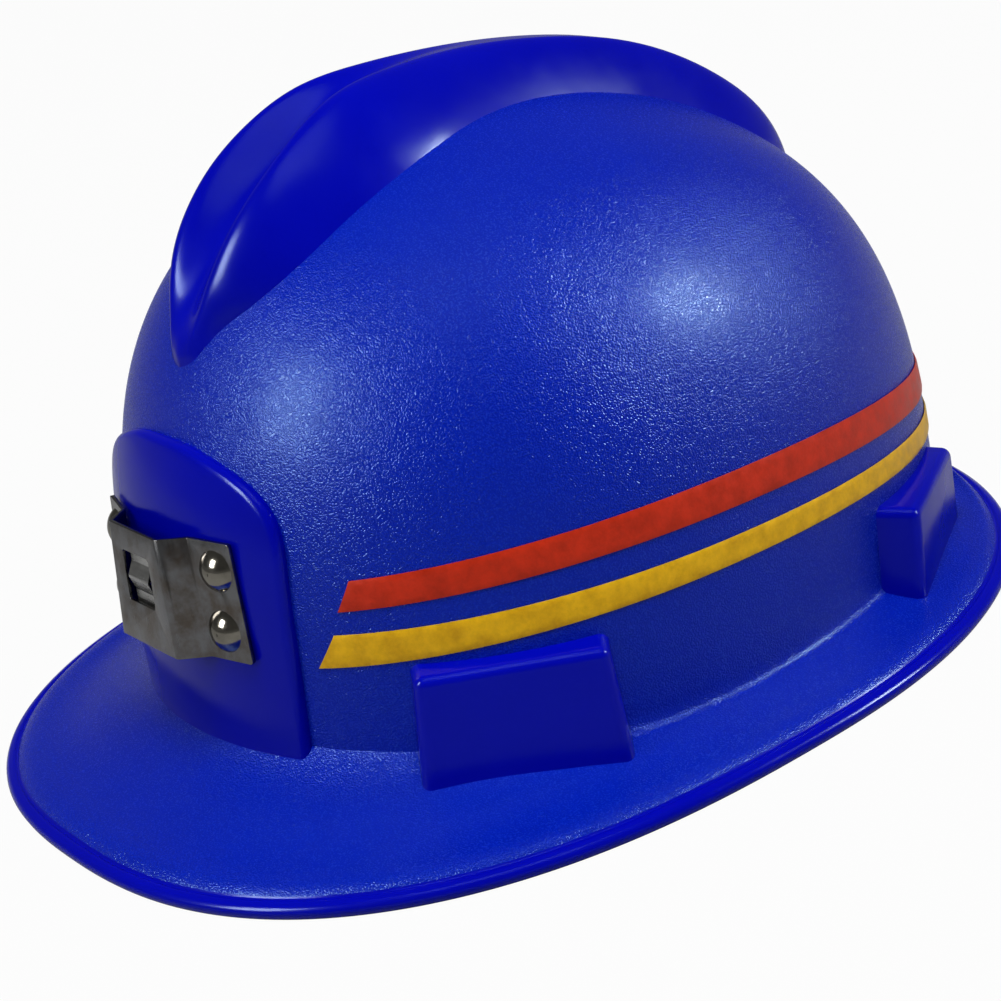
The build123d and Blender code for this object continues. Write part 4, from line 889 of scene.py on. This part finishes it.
def strap_piece(name, tall, side):
    """A woven strap with thinner selvedges, laid along its path between two blocks."""
    line = strap_path(tall)
    ahead = np.gradient(line, axis=0)
    ahead /= np.linalg.norm(ahead, axis=1, keepdims=True)
    out = np.stack([ahead[:, 1], -ahead[:, 0]], -1)
    length = np.concatenate([[0], np.cumsum(np.linalg.norm(np.diff(line, axis=0), axis=1))])
    share = np.linspace(-1, 1, STRAP_COLUMNS)
    u = np.broadcast_to(share[None, :] * STRAP_WIDTH / 2, (len(line), STRAP_COLUMNS))
    v = np.broadcast_to(length[:, None], u.shape)
    fullness = np.where(np.abs(share) > 0.99, 0.35, np.where(np.abs(share) > 0.8, 0.86, 0.97))
    thick = STRAP_THICKNESS / 2 * fullness
    rib = 1 - 0.05 * np.abs(np.abs(share) - 0.55) ** 0.5
    turn = math.atan2(STRAP_FRONT[1] - STRAP_REAR[1], STRAP_FRONT[0] + STRAP_REAR[0])
    middle = ((STRAP_FRONT[0] - STRAP_REAR[0]) / 2, (STRAP_FRONT[1] + STRAP_REAR[1]) / 2)
    skins = []
    for face in (1, -1):
        flat = line[:, None, :] + out[:, None, :] * (thick * rib * face)[None, :, None]
        x = middle[0] + flat[..., 0] * math.cos(turn) + u * math.sin(turn)
        y = middle[1] + flat[..., 0] * math.sin(turn) - u * math.cos(turn)
        rows = to_rest(np.stack([x, y, flat[..., 1]], -1))
        rows[..., 0] *= side
        skins.append(rows)
    return soft_grid(name, skins[0], skins[1], u, v)


def pad_piece(name, place, reach, thickness, edge, roundness, cells, seams, quilt):
    """A filled cushion on a surface, crowned in front, flat behind, pinched at its edge and seams."""
    s = np.linspace(-1, 1, cells[0] + 1)[:, None]
    t = np.linspace(-1, 1, cells[1] + 1)[None, :]
    s = np.sign(s) * (1 - (1 - np.abs(s)) ** PINCH_POWER)
    t = np.sign(t) * (1 - (1 - np.abs(t)) ** PINCH_POWER)
    u = s * np.sqrt(1 - roundness * t * t / 2) * reach[0]
    v = t * np.sqrt(1 - roundness * s * s / 2) * reach[1]
    far = np.minimum((1 - np.abs(s)) * reach[0] + 0 * t, (1 - np.abs(t)) * reach[1] + 0 * s)
    full = np.sqrt(1 - (1 - np.clip(far / edge, 0, 1)) ** 2)
    bulge = (1 - s ** 4) * (1 - t ** 4)
    sink = np.exp(-((far - seams) / SEAM_WIDTH) ** 2)
    for line in quilt:
        sink = np.maximum(sink, np.exp(-(line(u, v) / QUILT_WIDTH) ** 2) * np.clip(far / QUILT_FADE, 0, 1))
    half = thickness / 2
    front = half * (0.12 + 0.72 * full + 0.14 * bulge) - sink * thickness * 0.20
    back = half * (0.12 + 0.84 * full)
    return soft_grid(name, to_rest(place(u, v, front)), to_rest(place(u, v, -back)), u, v)


def brow_place(u, v, lift):
    """Along the front band: u round it from its middle, v up, and lift towards the head."""
    wide, long = BAND_HALF
    ahead = -math.pi / 2
    turn = np.linspace(ahead - BROW_REACH, ahead + BROW_REACH, 800)
    x, y = wide * np.cos(turn), BAND_Y + long * np.sin(turn)
    run = np.concatenate([[0], np.cumsum(np.hypot(np.diff(x), np.diff(y)))])
    run -= np.interp(ahead, turn, run)
    here = np.interp(u, run, turn)
    way = np.stack([np.cos(here) / wide, np.sin(here) / long], -1)
    way /= np.linalg.norm(way, axis=-1, keepdims=True)
    inset = BROW_INSET + lift
    return np.stack([wide * np.cos(here) - way[..., 0] * inset,
                     BAND_Y + long * np.sin(here) - way[..., 1] * inset, BAND_Z + v], -1)


def nape_place(u, v, lift):
    """On a cylinder in front of the ratchet box."""
    reach = NAPE_RADIUS - lift
    turn = math.pi / 2 + u / NAPE_RADIUS
    return np.stack([reach * np.cos(turn), BAND_Y + reach * np.sin(turn), BAND_Z + v + 0 * u], -1)


def crown_place(u, v, lift):
    """On a ball under the crossing of the straps."""
    reach = CROWN_RADIUS - CROWN_INSET - lift
    far = np.hypot(u, v)
    turn = far / reach
    share = np.where(far > 0, np.sin(turn) * reach / np.maximum(far, 1e-9), 1.0)
    middle_y, top = CROWN_PLACE
    return np.stack([u * share, middle_y + v * share, top - CROWN_RADIUS + reach * np.cos(turn)], -1)


def channels(gap, count):
    """Sewn lines across a pad, this far apart."""
    return [lambda u, v, n=n: u - (n - (count - 1) / 2) * gap for n in range(count)]


cross = [lambda u, v: (u + v) * 0.7071, lambda u, v: (u - v) * 0.7071, lambda u, v: np.hypot(u, v) - 0.015]
brow_pad = pad_piece("brow_sweat_band", brow_place, reach=(0.0920, 0.0153), thickness=0.0040, edge=0.0020,
                     roundness=0.06, cells=(120, 26), seams=0.0032, quilt=channels(0.023, 7))
nape_pad = pad_piece("nape_cushion", nape_place, reach=(0.0248, 0.0177), thickness=0.0046, edge=0.0022,
                     roundness=0.10, cells=(44, 34), seams=0.0034, quilt=channels(0.0118, 3))
crown_pad = pad_piece("crown_cushion", crown_place, reach=(0.0355, 0.0355), thickness=0.0050, edge=0.0024,
                      roundness=0.98, cells=(52, 52), seams=0.0045, quilt=cross)
for piece, node, made, fill in ((brow_pad, "brow_pad", brow_cloth, 0.6), (nape_pad, "nape_pad", pad_cloth, 0.7),
                                (crown_pad, "crown_pad", pad_cloth, 0.6)):
    piece.data.materials.append(made)
    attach(piece, "helmet")
    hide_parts(node)
for name, tall, side in (("crown_strap_lower", 0.0923, 1), ("crown_strap_upper", 0.0945, -1)):
    strap = strap_piece(name + "_webbing", tall, side)
    strap.data.materials.append(webbing)
    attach(strap, "helmet")
    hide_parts(name)

# ---- finishes of the carried-over solids
FINISHES = {
    "lamp_bracket": sheet_steel, "bracket_spring": spring_steel, "bracket_rivets": rivet_steel,
    "rivet_washers": sheet_steel, "cable_clip": sheet_steel, "cable_clip_rivet": rivet_steel,
    "key_front_left": key_plastic, "key_front_right": key_plastic, "key_rear_left": key_plastic,
    "key_rear_right": key_plastic, "front_band": band_plastic, "band_studs": stud_plastic,
    "band_tail_left": band_plastic, "band_tail_right": band_plastic, "ratchet_housing": band_plastic,
    "ratchet_cover": band_plastic, "ratchet_knob": knob_plastic, "pinion": stud_plastic,
    "pawl_spring": spring_steel, "ratchet_screw": rivet_steel,
}


def edged_copy(name, new_name, width):
    """A copy of a rigid solid with its cut edges broken, to stand for it."""
    piece = nodes[name].copy()
    piece.data = nodes[name].data.copy()
    for key in list(piece.keys()):
        if key.startswith("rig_"):
            del piece[key]
    piece.parent = None
    piece.name = new_name
    piece.data.name = new_name
    bpy.context.scene.collection.objects.link(piece)
    piece.data.materials.clear()
    piece.data.materials.append(FINISHES[name])
    only(piece)
    bpy.ops.object.mode_set(mode="EDIT")
    bpy.ops.mesh.select_all(action="SELECT")
    bpy.ops.mesh.remove_doubles(threshold=0.000002)
    bpy.ops.mesh.dissolve_limited(angle_limit=math.radians(0.5))
    bpy.ops.mesh.normals_make_consistent(inside=False)
    bpy.ops.object.mode_set(mode="OBJECT")
    step = piece.modifiers.new("broken_edges", "BEVEL")
    step.width = width
    step.segments = 2
    step.limit_method = "ANGLE"
    step.angle_limit = math.radians(40)
    step.use_clamp_overlap = True
    apply_step(piece, step)
    bpy.ops.object.shade_smooth_by_angle(angle=math.radians(40))
    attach(piece, "helmet")
    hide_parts(name)
    return piece


edged_copy("lamp_bracket", "lamp_bracket_sheet", 0.00022)

for name, made in FINISHES.items():
    node = nodes[name]
    if not node.data.materials:
        node.data.materials.append(made)
    for holder in node.material_slots:
        holder.material = made

# ---- camera, floor and light
LENS_MM = 93.5
SENSOR_MM = 36.0
CAMERA_AXES = (
    (0.576744, -0.197253, 0.792753),
    (0.789788, 0.382672, -0.479371),
    (-0.208807, 0.902581, 0.376492),
)
CAMERA_PLACE = (0.6006, -0.356334, 0.326339)
STUDIO_LIGHT = (0.10, 0.10, 0.10)
FLOOR_GREY = (0.36, 0.36, 0.36)
FLOOR_RADIUS = 3.0
FLOOR_WHITE = 0.96
# How much of the white surround shows in reflections, and between which heights of view it fades out.
MIRRORED_WHITE = 0.12
MIRRORED_FADE = (0.02, 0.22)
LAMP_TARGET = (0.0, 0.0, 0.09)
# Each lamp: name, azimuth and elevation in degrees, distance, size, power, and whether mirroring and matt
# surfaces show it.
LAMPS = (
    ("softbox_front", -4, 31, 1.4, (0.46, 0.58), 5, True, True),
    ("softbox_side", 139, 26, 1.4, (0.40, 0.50), 5, True, True),
    ("softbox_top", 70, 72, 1.7, (0.9, 0.9), 27, False, True),
    ("glint_front", -4, 31, 1.38, (0.42, 0.60), 22, True, False),
    ("glint_side", 139, 26, 1.38, (0.28, 0.36), 19, True, False),
)

lens = bpy.data.cameras.new("photo_view")
lens.lens = LENS_MM
lens.sensor_width = SENSOR_MM
lens.clip_start = 0.01
camera = bpy.data.objects.new("photo_view", lens)
bpy.context.scene.collection.objects.link(camera)
camera.matrix_world = Matrix.Translation(CAMERA_PLACE) @ Matrix(CAMERA_AXES).to_4x4()
bpy.context.scene.camera = camera

bpy.ops.object.select_all(action="DESELECT")
bpy.ops.mesh.primitive_circle_add(vertices=64, radius=FLOOR_RADIUS, fill_type="NGON", location=(0, 0, 0))
floor = bpy.context.object
floor.name = "pale_floor"


def seen_rays(tree, reflected):
    """1 for what the camera sees or what glass lets through, and this share for reflections."""
    rays = tree.nodes.new("ShaderNodeLightPath")
    through = combine(tree, "MAXIMUM", rays.outputs["Is Camera Ray"], rays.outputs["Is Transmission Ray"])
    mirrored = combine(tree, "MULTIPLY", rays.outputs["Is Glossy Ray"], reflected)
    return combine(tree, "MAXIMUM", through, mirrored)


def mix_shaders(tree, share, first, second, surface):
    """Show two shaders blended by this share."""
    choose = tree.nodes.new("ShaderNodeMixShader")
    for value, socket in zip((share, first, second), choose.inputs):
        tree.links.new(value, socket)
    tree.links.new(choose.outputs["Shader"], surface)


world = bpy.data.worlds.new("studio")
bpy.context.scene.world = world
world.use_nodes = True
tree = world.node_tree
tree.nodes.clear()
sky = tree.nodes.new("ShaderNodeTexCoord")
height = tree.nodes.new("ShaderNodeSeparateXYZ")
link(world, sky.outputs["Generated"], height.inputs["Vector"])
fade = spread(world, height.outputs["Z"], MIRRORED_WHITE, 0.0, *MIRRORED_FADE)
white = tree.nodes.new("ShaderNodeBackground")
white.inputs["Color"].default_value = (1, 1, 1, 1)
light = tree.nodes.new("ShaderNodeBackground")
light.inputs["Color"].default_value = (*STUDIO_LIGHT, 1)
output = tree.nodes.new("ShaderNodeOutputWorld")
mix_shaders(tree, seen_rays(tree, fade), light.outputs["Background"], white.outputs["Background"],
            output.inputs["Surface"])

floor_made, shader = finish("pale_floor", FLOOR_GREY, 0.9, specular=0.0)
tree = floor_made.node_tree
glow = tree.nodes.new("ShaderNodeEmission")
glow.inputs["Color"].default_value = (1, 1, 1, 1)
glowing = combine(tree, "MULTIPLY", seen_rays(tree, MIRRORED_WHITE), FLOOR_WHITE)
mix_shaders(tree, glowing, shader.outputs["BSDF"], glow.outputs["Emission"],
            tree.nodes["Material Output"].inputs["Surface"])
floor.data.materials.append(floor_made)

for name, azimuth, elevation, distance, size, power, glossy, diffuse in LAMPS:
    lamp = bpy.data.lights.new(name, "AREA")
    lamp.shape = "RECTANGLE"
    lamp.size, lamp.size_y = size
    lamp.energy = power
    a, e = math.radians(azimuth), math.radians(elevation)
    way = Vector((math.sin(a) * math.cos(e), -math.cos(a) * math.cos(e), math.sin(e)))
    body = bpy.data.objects.new(name, lamp)
    place = Matrix.Translation(Vector(LAMP_TARGET) + way * distance)
    body.matrix_world = place @ way.to_track_quat("Z", "Y").to_matrix().to_4x4()
    body.visible_glossy = glossy
    body.visible_diffuse = diffuse
    bpy.context.scene.collection.objects.link(body)
scene = bpy.context.scene
scene.view_settings.view_transform = "Standard"
